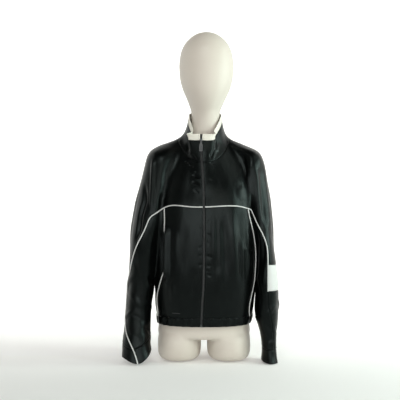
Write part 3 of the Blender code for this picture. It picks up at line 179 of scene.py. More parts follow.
BODY = Table(
    "z left right front back",
    (0.105, 0.1475, 0.149, 0.114, 0.111), (0.137, 0.1545, 0.1505, 0.1195, 0.116),
    (0.17, 0.159, 0.1575, 0.1265, 0.12), (0.25, 0.166, 0.156, 0.137, 0.122),
    (0.36, 0.168, 0.149, 0.140, 0.122), (0.48, 0.166, 0.148, 0.137, 0.12),
)
SLEEVES = {
    "left": Table(
        "z inner outer middle depth",
        (-0.01, 0.175, 0.229, -0.066, 0.046), (0.03, 0.181, 0.2245, -0.058, 0.05),
        (0.07, 0.1775, 0.225, -0.053, 0.055), (0.105, 0.169, 0.229, -0.048, 0.062),
        (0.14, 0.158, 0.233, -0.043, 0.067), (0.21, 0.158, 0.234, -0.038, 0.076),
        (0.27, 0.164, 0.23, -0.034, 0.082), (0.35, 0.162, 0.219, -0.03, 0.086),
        (0.43, 0.154, 0.214, -0.027, 0.086), (0.48, 0.146, 0.211, -0.022, 0.084),
    ),
    "right": Table(
        "z inner outer middle depth",
        (-0.01, 0.158, 0.255, -0.07, 0.046), (0.02, 0.16, 0.2565, -0.064, 0.049),
        (0.05, 0.167, 0.2575, -0.058, 0.053), (0.12, 0.166, 0.2495, -0.047, 0.061),
        (0.18, 0.163, 0.247, -0.041, 0.067), (0.22, 0.150, 0.2445, -0.039, 0.07),
        (0.3, 0.148, 0.235, -0.032, 0.079), (0.38, 0.136, 0.233, -0.028, 0.084),
        (0.43, 0.13, 0.227, -0.025, 0.085), (0.48, 0.126, 0.221, -0.021, 0.083),
    ),
}
SEAMS = {
    "left": Table(
        "z piping back_seam valley_front valley_back join front back",
        (-0.01, 0.14, 0.118, -0.03, 0.03, 1.0, 42, -95), (0.04, 0.14, 0.118, -0.03, 0.03, 1.0, 58, -95),
        (0.137, 0.141, 0.119, -0.03, 0.03, 1.0, 80, -92), (0.163, 0.138, 0.12, -0.03, 0.03, 1.0, 86, -90),
        (0.21, 0.15, 0.121, -0.034, 0.032, 1.0, 91, -88),
        (0.255, 0.160, 0.122, -0.044, 0.04, 1.0, 92, -84),
        (0.29, 0.161, 0.122, -0.054, 0.05, 1.0, 91, -82),
        (0.345, 0.161, 0.122, -0.064, 0.062, 0.9, 86, -79),
        (0.375, 0.158, 0.122, -0.070, 0.069, 0.78, 90, -77),
        (0.398, 0.154, 0.122, -0.075, 0.073, 0.65, 101, -76),
        (0.42, 0.149, 0.121, -0.080, 0.078, 0.5, 122, -74),
        (0.445, 0.140, 0.121, -0.083, 0.082, 0.32, 132, -73),
        (0.48, 0.134, 0.12, -0.088, 0.086, 0.1, 126, -72),
    ),
    "right": Table(
        "z piping back_seam valley_front valley_back join front back",
        (-0.01, 0.140, 0.118, -0.038, 0.036, 1.0, 99, -95),
        (0.04, 0.140, 0.118, -0.038, 0.036, 1.0, 85, -95), (0.06, 0.140, 0.118, -0.038, 0.036, 1.0, 70, -94),
        (0.1, 0.141, 0.118, -0.038, 0.036, 1.0, 12, -93), (0.137, 0.143, 0.118, -0.038, 0.036, 1.0, -6, -91),
        (0.185, 0.150, 0.119, -0.038, 0.036, 1.0, -13, -89),
        (0.215, 0.1445, 0.119, -0.038, 0.036, 1.0, -14, -88),
        (0.262, 0.1275, 0.118, -0.04, 0.038, 1.0, 12, -84),
        (0.311, 0.1245, 0.117, -0.052, 0.05, 1.0, 47, -81),
        (0.359, 0.1235, 0.116, -0.064, 0.062, 0.85, 72, -79),
        (0.396, 0.1215, 0.116, -0.072, 0.07, 0.65, 91, -77),
        (0.433, 0.121, 0.115, -0.08, 0.078, 0.4, 100, -75),
        (0.48, 0.125, 0.114, -0.086, 0.084, 0.1, 105, -73),
    ),
}
COLUMNS = Table(
    "column neck chest_left chest_right shoulder blade split",
    (0, 0.0, 0.479, 0.479, 0.0, 0.0, 0.0), (3, 20.0, 0.485, 0.483, 0.0, 0.0, 0.1),
    (5, 34.0, 0.485, 0.488, 0.02, 0.0, 0.4), (7, 48.0, 0.473, 0.4757, 0.22, 0.0, 0.8),
    (9, 58.0, 0.4675, 0.466, 0.55, 0.0, 1.0), (12, 70.0, 0.453, 0.441, 0.95, 0.0, 1.0),
    (15.5, 90.0, 0.44, 0.43, 1.0, 0.0, 1.0), (19, 108.0, 0.442, 0.436, 0.95, 0.05, 1.0),
    (22, 122.0, 0.452, 0.45, 0.6, 0.4, 1.0), (24, 134.0, 0.462, 0.46, 0.3, 0.7, 0.8),
    (26.5, 156.0, 0.468, 0.468, 0.05, 0.95, 0.3), (29, 180.0, 0.47, 0.47, 0.0, 1.0, 0.0),
)
CHEST_PROFILE = Table(
    "step out down",
    (0.0, 0.0, 0.0), (0.3, 0.4, 0.3), (0.6, 0.74, 0.6), (0.8, 0.9, 0.8), (1.0, 1.0, 1.0),
)
BLADE_PROFILE = Table(
    "step out down",
    (0.0, 0.0, 0.0), (0.2, 0.45, 0.12), (0.4, 0.76, 0.3), (0.6, 0.93, 0.52), (0.8, 0.99, 0.76),
    (1.0, 1.0, 1.0),
)
SHOULDER_PROFILES = {
    "left": Table(
        "step out down",
        (0.0, 0.0, 0.0), (0.2, 0.33, 0.075), (0.4, 0.63, 0.138), (0.5, 0.75, 0.18), (0.6, 0.82, 0.27),
        (0.7, 0.87, 0.40), (0.8, 0.912, 0.55), (0.9, 0.953, 0.76), (1.0, 1.0, 1.0),
    ),
    "right": Table(
        "step out down",
        (0.0, 0.0, 0.0), (0.2, 0.34, 0.065), (0.4, 0.6, 0.125), (0.5, 0.69, 0.18), (0.6, 0.725, 0.27),
        (0.7, 0.775, 0.42), (0.8, 0.85, 0.57), (0.9, 0.93, 0.78), (1.0, 1.0, 1.0),
    ),
}
COLLAR_TOPS = {
    "left": Table(
        "column x y z",
        (0, -0.0055, -0.0885, 0.7), (2, 0.018, -0.0875, 0.7), (3, 0.0355, -0.083, 0.7),
        (4, 0.036, -0.071, 0.705), (5, 0.030, -0.061, 0.711), (6.5, 0.036, -0.05, 0.722),
        (9, 0.049, -0.028, 0.748), (13, 0.055, 0.0, 0.77), (18, 0.050, 0.026, 0.777),
        (24, 0.030, 0.05, 0.784), (29, 0.002, 0.058, 0.785),
    ),
    "right": Table(
        "column x y z",
        (0, 0.0125, -0.0885, 0.7), (2, 0.038, -0.087, 0.7), (3.2, 0.0605, -0.081, 0.7),
        (4.2, 0.047, -0.07, 0.704), (5.2, 0.034, -0.06, 0.711), (6.5, 0.036, -0.049, 0.722),
        (9, 0.044, -0.027, 0.748), (13, 0.048, 0.0, 0.77), (18, 0.042, 0.026, 0.777),
        (24, 0.024, 0.05, 0.784), (29, -0.002, 0.058, 0.785),
    ),
}
CUFF_RIMS = {
    "left": Table(
        "angle z",
        (-180, 0.003), (-90, 0.004), (0, -0.0045), (90, -0.0045), (180, 0.003),
    ),
    "right": Table(
        "angle z",
        (-180, 0.033), (-120, 0.040), (-60, 0.030), (0, 0.013), (40, 0.014), (60, 0.003),
        (75, -0.0045), (95, -0.0035), (115, 0.006), (133, 0.0165), (160, 0.027), (180, 0.033),
    ),
}
ZIP_LINE = Table(
    "z x",
    (0.105, -0.0095), (0.18, -0.006), (0.25, -0.002), (0.4, -0.0005), (0.52, -0.002), (0.6, -0.006),
    (0.64, -0.0085), (0.68, -0.0096), (0.7, -0.009),
)
TORSO = Table(
    "z x half front back power",
    (0.066, 0.0, 0.134, 0.088, 0.091, 2.4), (0.071, 0.0, 0.143, 0.097, 0.1, 2.4),
    (0.082, 0.0, 0.1465, 0.101, 0.103, 2.4), (0.11, 0.0, 0.1435, 0.102, 0.103, 2.4),
    (0.16, 0.0, 0.138, 0.098, 0.1, 2.4), (0.22, 0.0, 0.128, 0.09, 0.09, 2.3),
    (0.3, 0.0, 0.117, 0.082, 0.078, 2.3), (0.36, 0.0, 0.116, 0.086, 0.078, 2.3),
    (0.43, 0.0, 0.126, 0.097, 0.086, 2.3), (0.5, 0.0, 0.14, 0.106, 0.094, 2.3),
    (0.56, 0.0, 0.154, 0.091, 0.095, 2.3), (0.6, 0.0, 0.164, 0.077, 0.09, 2.2),
    (0.63, 0.0, 0.167, 0.063, 0.084, 2.1), (0.648, 0.0, 0.164, 0.053, 0.078, 2.0),
    (0.66, 0.0, 0.152, 0.045, 0.073, 2.0), (0.67, 0.0, 0.132, 0.034, 0.068, 2.0),
    (0.68, 0.001, 0.098, 0.026, 0.063, 2.0), (0.695, 0.002, 0.057, 0.034, 0.058, 2.0),
    (0.715, 0.003, 0.049, 0.041, 0.053, 2.0), (0.745, 0.004, 0.045, 0.043, 0.048, 2.0),
    (0.775, 0.005, 0.0455, 0.05, 0.046, 2.0), (0.798, 0.006, 0.053, 0.062, 0.058, 2.0),
    (0.823, 0.007, 0.0635, 0.074, 0.08, 2.0), (0.85, 0.0075, 0.0755, 0.081, 0.096, 2.0),
    (0.887, 0.0075, 0.0845, 0.085, 0.105, 2.0), (0.925, 0.0075, 0.0865, 0.085, 0.104, 2.0),
    (0.964, 0.0075, 0.082, 0.079, 0.095, 2.0), (0.99, 0.0075, 0.0715, 0.068, 0.081, 2.0),
    (1.01, 0.0075, 0.055, 0.053, 0.062, 2.0), (1.023, 0.0075, 0.0375, 0.037, 0.043, 2.0),
    (1.0305, 0.0075, 0.018, 0.018, 0.021, 2.0), (1.0325, 0.0075, 0.004, 0.004, 0.005, 2.0),
)
STUB = Table(
    "z x half front back power",
    (FLOOR, 0.0783, 0.042, 0.052, 0.060, 2.3), (FLOOR + 0.003, 0.0783, 0.0545, 0.067, 0.074, 2.3),
    (FLOOR + 0.01, 0.0783, 0.0625, 0.082, 0.086, 2.3),
    (FLOOR + 0.022, 0.0783, 0.0675, 0.092, 0.094, 2.3), (0.04, 0.0783, 0.069, 0.0975, 0.0975, 2.3),
    (0.064, 0.0783, 0.068, 0.097, 0.097, 2.3), (0.08, 0.0783, 0.063, 0.09, 0.09, 2.3),
)


def eased(t: Array | float) -> Array | float:
    """Smooth step from 0 to 1, of a value or of each in an array."""
    t = np.clip(t, 0.0, 1.0)
    return t * t * (3 - 2 * t)


def mix(a: Array | float, b: Array | float, t: float) -> Array | float:
    """Straight blend of two values or points."""
    return a * (1 - t) + b * t


def powered(value: float, power: float) -> float:
    """Signed power."""
    return math.copysign(abs(value) ** power, value)


def unit(vectors: Array) -> Array:
    """Vectors made one long."""
    return vectors / np.maximum(np.linalg.norm(vectors, axis=-1, keepdims=True), 1e-12)


def run_lengths(path: Array) -> Array:
    """Length along a path up to each of its points."""
    return np.concatenate([[0.0], np.cumsum(np.linalg.norm(np.diff(path, axis=0), axis=1))])


class Section:
    """Half of the body's section at a height, in the side's own x (outward is positive)."""

    def __init__(self, side: str, z: float) -> None:
        """Read the section's sizes and measure along its cloth.

        Args:
            side: "left" or "right".
            z: the height.
        """
        self.half = BODY.read(side, z)
        self.front = BODY.read("front", z)
        self.back = BODY.read("back", z)
        self.angles = np.linspace(SECTION_START, math.pi, SECTION_POINTS)
        self.points = np.array([self.at(angle) for angle in self.angles])
        self.lengths = run_lengths(self.points)

    def at(self, angle: float) -> Array:
        """Point at an angle, from the front (0) over the side (90 degrees) to the back.

        Args:
            angle: from the front (0) over the side (90 degrees) to the back, in radians.

        Returns:
            The point, as x outward and y.
        """
        cosine = powered(math.cos(angle), 2 / SECTION_POWER)
        y = -self.front * cosine if cosine > 0 else -self.back * cosine
        return np.array([self.half * powered(math.sin(angle), 2 / SECTION_POWER), y])

    def front_x(self, x: float) -> float:
        """Angle of the front's point at x."""
        share = min(FRONT_MOST, abs(x) / self.half)
        return math.copysign(math.asin(share ** (SECTION_POWER / 2)), x)

    def side_angle(self, y: float) -> float:
        """Angle of the side's point at y.

        Args:
            y: the point's y.

        Returns:
            The angle.
        """
        depth = self.front if y < 0 else self.back
        angle = math.acos(min(1.0, abs(y) / depth) ** (SECTION_POWER / 2))
        return angle if y < 0 else math.pi - angle

    def between(self, start: float, end: float, share: float) -> Array:
        """Point at a share of the way along the cloth between two angles."""
        low, high = np.interp([start, end], self.angles, self.lengths)
        return self.at(np.interp(mix(low, high, share), self.lengths, self.angles))

    def side_x(self, y: float) -> float:
        """x of the body's side at y.

        Args:
            y: the place's y.

        Returns:
            The x there, outward.
        """
        depth = self.front if y < 0 else self.back
        share = min(1.0, abs(y) / depth)
        return self.half * (1 - share**SECTION_POWER) ** (1 / SECTION_POWER)


class Underarm:
    """Where body and sleeve meet at a height: both valleys and the seams next to them."""

    def __init__(self, side: str, z: float) -> None:
        """Read the sleeve's and the seams' sizes at a height.

        Args:
            side: "left" or "right".
            z: the height.
        """
        self.section = section_at(side, z)
        seams, sleeve = SEAMS[side], SLEEVES[side]
        self.inner = sleeve.read("inner", z)
        self.outer = sleeve.read("outer", z)
        self.depth = sleeve.read("depth", z)
        self.centre = np.array([(self.inner + self.outer) / 2, sleeve.read("middle", z)])
        self.join = seams.read("join", z)
        self.front_angle = math.radians(seams.read("front", z))
        self.back_angle = math.radians(seams.read("back", z))
        self.piping = self.section.front_x(seams.read("piping", z))
        self.back_seam = math.pi - self.section.front_x(seams.read("back_seam", z))
        side_front = self.section.side_angle(seams.read("valley_front", z))
        self.valley_front = max(side_front, self.piping + VALLEY_CLEAR)
        self.valley_back = self.section.side_angle(seams.read("valley_back", z))
        self.front_point = self._valley(self.piping, self.valley_front, self.front_angle)
        self.back_point = self._valley(self.back_seam, self.valley_back, self.back_angle)

    def _valley(self, seam: float, valley: float, sleeve_angle: float) -> Array:
        """Valley point: on the body's side low down, near the flat chest cloth at the top."""
        flat = mix(self.section.at(seam), self.ellipse(sleeve_angle), 0.5)
        return mix(flat, self.section.at(valley), self.join)

    def ellipse(self, angle: float) -> Array:
        """Point of the sleeve's own section at a polar angle.

        Args:
            angle: the angle about the sleeve's middle.

        Returns:
            The point.
        """
        half = (self.outer - self.inner) / 2
        c, s = math.cos(angle), math.sin(angle)
        radius = (abs(c / half) ** SLEEVE_POWER + abs(s / self.depth) ** SLEEVE_POWER) ** (-1 / SLEEVE_POWER)
        return self.centre + radius * np.array([c, -s])

    def polar(self, point: Array) -> float:
        """Polar angle of a point about the sleeve's middle."""
        x, y = point - self.centre
        return math.atan2(-y, x)

    def sleeve(self, column: float) -> Array:
        """Point of the sleeve between the valleys, at a column from VALLEY_FRONT to VALLEY_BACK.

        Args:
            column: the net's column, from VALLEY_FRONT to VALLEY_BACK.

        Returns:
            The point.
        """
        starts = self.polar(self.front_point) % (2 * math.pi)
        ends = self.polar(self.back_point)
        if ends > 0:
            ends -= 2 * math.pi
        stops = (VALLEY_FRONT, SLEEVE_FRONT, SLEEVE_BACK, VALLEY_BACK)
        angle = float(np.interp(column, stops, (starts, self.front_angle, self.back_angle, ends)))
        reach = math.radians(BLEND_REACH)
        near_front = eased(1 - (starts - angle) / reach)
        near_back = eased(1 - (angle - ends) / reach)
        point = self.ellipse(angle) + near_front * (self.front_point - self.ellipse(starts))
        return point + near_back * (self.back_point - self.ellipse(ends))


@lru_cache(maxsize=20000)
def section_at(side: str, z: float) -> Section:
    """The body's section at a height."""
    return Section(side, z)


@lru_cache(maxsize=20000)
def underarm_at(side: str, z: float) -> Underarm:
    """The underarm's sizes at a height."""
    return Underarm(side, z)


def front_edge(side: str, z: float) -> float:
    """The front edge's place in the side's own x."""
    return SIDES[side] * ZIP_LINE.read("x", z) + FRONT_OPENING


def own(side: str, plan: Array, z: float) -> Array:
    """Jacket point from a side's own plan point."""
    return np.array([SIDES[side] * plan[0], plan[1], z])


@dataclass
class Surface:
    """Faces of the garment, the piece that each belongs to, and named runs of points."""

    points: Array
    corners: Array  # point numbers, face after face
    sizes: Array  # how many corners each face has
    pieces: Array  # piece number of each face
    names: list[str]
    runs: dict[str, Array]

    def next_corners(self) -> tuple[Array, Array, Array]:
        """Face of each corner, the point after it, and the number of the corner before it.

        Returns:
            The three arrays, each with one entry for each corner.
        """
        face_of = np.repeat(np.arange(len(self.sizes)), self.sizes)
        starts = np.cumsum(self.sizes) - self.sizes
        within = np.arange(len(self.corners)) - starts[face_of]
        after = self.corners[starts[face_of] + (within + 1) % self.sizes[face_of]]
        before = starts[face_of] + (within - 1) % self.sizes[face_of]
        return face_of, after, before

    def edges(self) -> tuple[Array, Array]:
        """Edges as pairs of points, and the edge that starts at each corner.

        Returns:
            The pairs, and one edge number for each corner.
        """
        _, after, _ = self.next_corners()
        low, high = np.minimum(self.corners, after), np.maximum(self.corners, after)
        codes, edge_of = np.unique(low * len(self.points) + high, return_inverse=True)
        return np.stack([codes // len(self.points), codes % len(self.points)], axis=1), edge_of

    def refined(self) -> "Surface":
        """One Catmull-Clark step, with open edges kept as smooth curves and their corners held.

        Returns:
            The finer surface, with its runs threaded through the new points.
        """
        count = len(self.points)
        face_of, _, before = self.next_corners()
        edges, edge_of = self.edges()
        centres = sums(face_of, self.points[self.corners], len(self.sizes)) / self.sizes[:, None]
        middles = self.points[edges].mean(axis=1)
        uses = np.bincount(edge_of, minlength=len(edges))
        near = sums(edge_of, centres[face_of], len(edges))
        inner = (uses == 2)[:, None]
        edge_points = np.where(inner, (2 * middles + near) / 4, middles)
        valence = np.bincount(edges.ravel(), minlength=count)[:, None]
        around = sums(self.corners, centres[face_of], count)
        around /= np.maximum(1, np.bincount(self.corners, minlength=count))[:, None]
        spokes = sums(edges.ravel(), np.repeat(middles, 2, axis=0), count) / np.maximum(1, valence)
        moved = (around + 2 * spokes + (valence - 3) * self.points) / np.maximum(1, valence)
        rim = edges[uses == 1]
        on_rim = np.bincount(rim.ravel(), minlength=count)
        along = sums(rim.ravel(), np.repeat(middles[uses == 1], 2, axis=0), count)
        moved = np.where((on_rim == 2)[:, None], self.points / 2 + along / 4, moved)
        held = (on_rim > 0) & (valence[:, 0] == 2)
        moved[held] = self.points[held]
        first, centre = count, count + len(edges)
        quads = np.stack([self.corners, first + edge_of, centre + face_of, first + edge_of[before]], axis=1)
        codes = edges[:, 0] * count + edges[:, 1]
        runs = {}
        for name, run in self.runs.items():
            pairs = np.minimum(run[:-1], run[1:]) * count + np.maximum(run[:-1], run[1:])
            threaded = np.empty(2 * len(run) - 1, int)
            threaded[0::2] = run
            threaded[1::2] = first + np.searchsorted(codes, pairs)
            runs[name] = threaded
        return Surface(
            np.concatenate([moved, edge_points, centres]),
            quads.ravel(),
            np.full(len(quads), 4),
            self.pieces[face_of],
            self.names,
            runs,
        )

    def normals(self) -> Array:
        """Outward normal of each point, on a surface of four-sided faces."""
        return normals_of(self.points, self.corners.reshape(-1, 4))


def normals_of(points: Array, quads: Array) -> Array:
    """Outward normal of each point, from the four-sided faces round it."""
    a, b, c, d = (points[quads[:, i]] for i in range(4))
    return unit(sums(quads.ravel(), np.repeat(np.cross(c - a, d - b), 4, axis=0), len(points)))


def sums(places: Array, values: Array, count: int) -> Array:
    """Sum of the rows of values at each place."""
    return np.stack([np.bincount(places, weights=values[:, i], minlength=count) for i in range(3)], axis=1)


class JacketNet:
    """Coarse net of the whole garment, as its patterns are cut."""

    def __init__(self) -> None:
        """Lay out both sides."""
        self.index: dict[Key, int] = {}
        self.points: list[Array] = []
        self.faces: list[list[int]] = []
        self.pieces: list[str] = []
        for side in SIDES:
            base = self._upper(side)
            last = self._union(side)
            bridge = self._body(side, last)
            self._sleeve(side, last, bridge)
            self._collar(side, base)

    def point(self, key: Key, place: Array) -> int:
        """Number of the point with this key, which is placed when it is first asked for.

        Args:
            key: its patch, side, column and row.
            place: where it goes.

        Returns:
            Its number.
        """
        if key not in self.index:
            self.index[key] = len(self.points)
            self.points.append(np.array(place, float))
        return self.index[key]

    def _face(self, piece: str, corners: tuple[int, ...], side: str) -> None:
        """Add a face whose corners run the same way round on the left side.

        Args:
            piece: the cut piece that it belongs to.
            corners: its points' numbers.
            side: "left" or "right".
        """
        kept = list(dict.fromkeys(corners))
        self.faces.append(kept if SIDES[side] > 0 else kept[::-1])
        self.pieces.append(piece)

    def _grid(self, ids: list[list[int]], name: Callable[[int, int], str], side: str) -> None:
        """Add the faces between rows of points.

        Args:
            ids: the points' numbers, row by row.
            name: gives a face's piece by its column and row.
            side: the side.
        """
        for row in range(len(ids) - 1):
            for column in range(len(ids[row]) - 1):
                below, above = ids[row + 1], ids[row]
                corners = (above[column], below[column], below[column + 1], above[column + 1])
                self._face(name(column, row), corners, side)

    @staticmethod
    def neck_point(side: str, column: float) -> Array:
        """Point of the neckline, where the collar is sewn on.

        Args:
            side: "left" or "right".
            column: the net's column.

        Returns:
            The point, in the side's own x.
        """
        start = math.asin(front_edge(side, NECK_FRONT_Z) / NECK_HALF)
        angle = start * max(0.0, 1 - column / PIPED) + math.radians(COLUMNS.read("neck", column))
        forward = math.cos(angle)
        x = NECK_HALF * math.sin(angle)
        if forward > 0:
            return np.array([x, -NECK_FRONT * forward, mix(NECK_SIDE_Z, NECK_FRONT_Z, forward**NECK_DIP)])
        return np.array([x, -NECK_BACK * forward, mix(NECK_SIDE_Z, NECK_BACK_Z, -forward)])

    @staticmethod
    def chest_z(side: str, column: float) -> float:
        """Height of the chest seam, or of its row, at a column."""
        return COLUMNS.read("chest_" + side, column)

    @staticmethod
    def split_z(side: str, column: float) -> float:
        """Height of the row where body and sleeve part."""
        return mix(SPLIT_MIDDLE, SPLIT_SIDE[side], COLUMNS.read("split", column))

    @staticmethod
    def union_point(side: str, column: float, z: float) -> Array:
        """Point of body and sleeve as one outline, at or above the underarm.

        Args:
            side: "left" or "right".
            column: the net's column.
            z: the height.

        Returns:
            The point, as x outward and y.
        """
        under = underarm_at(side, z)
        section = under.section
        if column <= PIPED:
            return section.between(section.front_x(front_edge(side, z)), under.piping, column / PIPED)
        if column < VALLEY_FRONT:
            share = (column - PIPED) / (VALLEY_FRONT - PIPED)
            point = section.between(under.piping, under.valley_front, share)
            return point + share**2 * (under.front_point - section.at(under.valley_front))
        if column <= VALLEY_BACK:
            return under.sleeve(column)
        if column < BACK_SEAM:
            share = (BACK_SEAM - column) / (BACK_SEAM - VALLEY_BACK)
            point = section.between(under.back_seam, under.valley_back, share)
            return point + share**2 * (under.back_point - section.at(under.valley_back))
        share = (column - BACK_SEAM) / (MIDDLE_BACK - BACK_SEAM)
        return section.between(under.back_seam, math.pi, share)

    def upper_point(self, side: str, column: int, step: float) -> Array:
        """Point of the yoke and shoulder, from the neckline (0) to the chest seam (1).

        Args:
            side: "left" or "right".
            column: the net's column.
            step: from the neckline (0) to the chest seam (1).

        Returns:
            The point, in the side's own x.
        """
        top = self.neck_point(side, column)
        z = self.chest_z(side, column)
        low = np.append(self.union_point(side, column, z), z)
        shoulder, blade = COLUMNS.read("shoulder", column), COLUMNS.read("blade", column)
        shares = (
            (CHEST_PROFILE, 1 - shoulder - blade),
            (SHOULDER_PROFILES[side], shoulder),
            (BLADE_PROFILE, blade),
        )
        out = sum(weight * rows.read("out", step) for rows, weight in shares)
        down = sum(weight * rows.read("down", step) for rows, weight in shares)
        plan = mix(top[:2], low[:2], out)
        height = mix(top[2], low[2], down)
        if column == 0:
            plan[0] = front_edge(side, height)
        return np.append(plan, height)

    @staticmethod
    def region(side: str, column: int) -> str:
        """Piece of the cloth below the chest seam and above the underarm, by column.

        Args:
            side: "left" or "right".
            column: the net's column.

        Returns:
            The piece's name.
        """
        if column < PIPED:
            return "front_" + side
        if column < VALLEY_FRONT or VALLEY_BACK <= column < BACK_SEAM:
            return "side_" + side
        if column < SLEEVE_FRONT or SLEEVE_BACK <= column < VALLEY_BACK:
            return "under_sleeve_" + side
        return "upper_" + side if column < SLEEVE_BACK else "back"

    @staticmethod
    def shared(side: str, column: int, tag: str, row: int) -> Key:
        """Key of a point; both sides share the points at the middle of the back."""
        return (tag, "both" if column == MIDDLE_BACK else side, column, row)

    def _upper(self, side: str) -> list[int]:
        """Yoke, shoulder and upper back.

        Args:
            side: "left" or "right".

        Returns:
            Numbers of the neckline's points.
        """
        rows = []
        for row in range(UPPER_ROWS + 1):
            tag, at = ("chest", 0) if row == UPPER_ROWS else ("upper", row)
            ids = []
            for column in range(MIDDLE_BACK + 1):
                x, y, z = self.upper_point(side, column, row / UPPER_ROWS)
                ids.append(self.point(self.shared(side, column, tag, at), (SIDES[side] * x, y, z)))
            rows.append(ids)
        self._grid(rows, lambda column, row: "back" if column >= BACK_SEAM else "upper_" + side, side)
        return rows[0]

    def _union(self, side: str) -> list[int]:
        """Body and sleeve together, from the chest seam to the underarm.

        Args:
            side: "left" or "right".

        Returns:
            Numbers of its lowest row's points.
        """
        rows = []
        for row, step in enumerate(UNION_STEPS):
            ids = []
            for column in range(MIDDLE_BACK + 1):
                z = mix(self.chest_z(side, column), self.split_z(side, column), step)
                key = self.shared(side, column, "chest" if row == 0 else "union", row)
                ids.append(self.point(key, own(side, self.union_point(side, column, z), z)))
            rows.append(ids)

        def name(column: int, row: int) -> str:
            """Piece of a face."""
            block = side == "left" and row >= BLOCK_TOP and SLEEVE_FRONT <= column < SLEEVE_BACK
            return "sleeve_block_left" if block else self.region(side, column)

        self._grid(rows, name, side)
        return rows[-1]

    @staticmethod
    def body_point(side: str, column: float, z: float) -> Array:
        """Point of the body below the underarm; the bridge's columns count on from VALLEY_FRONT.

        Args:
            side: "left" or "right".
            column: the body's column.
            z: the height.

        Returns:
            The point, as x outward and y.
        """
        under = underarm_at(side, z)
        section = under.section
        stops = (0, PIPED, VALLEY_FRONT, VALLEY_FRONT + BRIDGE, BODY_BACK_SEAM, BODY_COLUMNS)
        start = section.front_x(front_edge(side, z))
        angles = (start, under.piping, under.valley_front, under.valley_back, under.back_seam, math.pi)
        length = np.interp(column, stops, np.interp(angles, section.angles, section.lengths))
        return section.at(np.interp(length, section.lengths, section.angles))

    @staticmethod
    def sleeve_point(side: str, column: float, z: float, split: float) -> Array:
        """Point of the sleeve below the underarm, kept clear of the body.

        Args:
            side: "left" or "right".
            column: the sleeve's column, counted from VALLEY_FRONT.
            z: the height.
            split: the height of the underarm.

        Returns:
            The point, as x outward and y.
        """
        under, top = underarm_at(side, z), underarm_at(side, split)
        starts = top.polar(top.front_point) % (2 * math.pi)
        stops = (VALLEY_FRONT, SLEEVE_FRONT, SLEEVE_BACK, VALLEY_BACK, VALLEY_BACK + BRIDGE)
        ends = top.polar(top.back_point)
        angles = (starts, under.front_angle, under.back_angle, ends, starts - 2 * math.pi)
        point = under.ellipse(float(np.interp(column, stops, angles)))
        gap = mix(WEB, HANG_GAP, eased((split - z - CLINGS) / LETS_GO))
        point[0] = max(point[0], under.section.side_x(point[1]) + gap)
        return point

    def _body(self, side: str, last: list[int]) -> list[int]:
        """Body below the underarm.

        Args:
            side: "left" or "right".
            last: numbers of the points at the underarm's height.

        Returns:
            Numbers of the underarm's points on the body, valley to valley.
        """
        valley_z = self.split_z(side, VALLEY_FRONT)
        bridge = []
        for step in range(1, BRIDGE):
            plan = self.body_point(side, VALLEY_FRONT + step, valley_z)
            bridge.append(self.point(("bridge", side, step, 0), own(side, plan, valley_z)))
        top = last[: VALLEY_FRONT + 1] + bridge + last[VALLEY_BACK:]
        rows = [top]
        for row in range(1, BODY_ROWS + 1):
            ids = []
            for column in range(len(top)):
                z = mix(self.points[top[column]][2], HEM_TOP, row / BODY_ROWS)
                key = ("body", "both" if column == BODY_COLUMNS else side, column, row)
                ids.append(self.point(key, own(side, self.body_point(side, column, z), z)))
            rows.append(ids)

        def name(column: int, _row: int) -> str:
            """Piece of a face."""
            if column < PIPED:
                return "front_" + side
            return "side_" + side if column < BODY_BACK_SEAM else "back"

        self._grid(rows, name, side)
        return [last[VALLEY_FRONT]] + bridge + [last[VALLEY_BACK]]

    def _sleeve(self, side: str, last: list[int], bridge: list[int]) -> None:
        """Sleeve below the underarm, with its cuff.

        Args:
            side: "left" or "right".
            last: numbers of the points at the underarm's height.
            bridge: those of the underarm's on the body.
        """
        split = self.split_z(side, VALLEY_FRONT)
        web = [bridge[0]]
        for step in range(1, BRIDGE):
            x, y, z = self.points[bridge[step]]
            web.append(self.point(("web", side, step, 0), (x + SIDES[side] * WEB, y, z)))
        web.append(bridge[-1])
        for step in range(BRIDGE):
            corners = (bridge[step], bridge[step + 1], web[step + 1], web[step])
            self._face("under_sleeve_" + side, corners, side)
        rows = [last[VALLEY_FRONT : VALLEY_BACK + 1] + web[-2:0:-1] + [last[VALLEY_FRONT]]]
        for row in range(1, SLEEVE_ROWS + CUFF_ROWS + 1):
            ids = []
            for column in range(len(rows[0]) - 1):
                plan = self.sleeve_point(side, VALLEY_FRONT + column, CUFF_HEIGHT, split)
                angle = math.degrees(underarm_at(side, CUFF_HEIGHT).polar(plan))
                low = CUFF_RIMS[side].read("z", (angle + 180) % 360 - 180)
                if row <= SLEEVE_ROWS:
                    z = mix(split, low + CUFF_HEIGHT, row / SLEEVE_ROWS)
                else:
                    z = mix(low + CUFF_HEIGHT, low, (row - SLEEVE_ROWS) / CUFF_ROWS)
                place = own(side, self.sleeve_point(side, VALLEY_FRONT + column, z, split), z)
                ids.append(self.point(("sleeve", side, column, row), place))
            rows.append(ids + ids[:1])

        def name(column: int, row: int) -> str:
            """Piece of a face."""
            if row >= SLEEVE_ROWS:
                return "cuff_" + side
            if SLEEVE_FRONT <= VALLEY_FRONT + column < SLEEVE_BACK:
                return "sleeve_lower_left" if side == "left" else "upper_right"
            return "under_sleeve_" + side

        self._grid(rows, name, side)

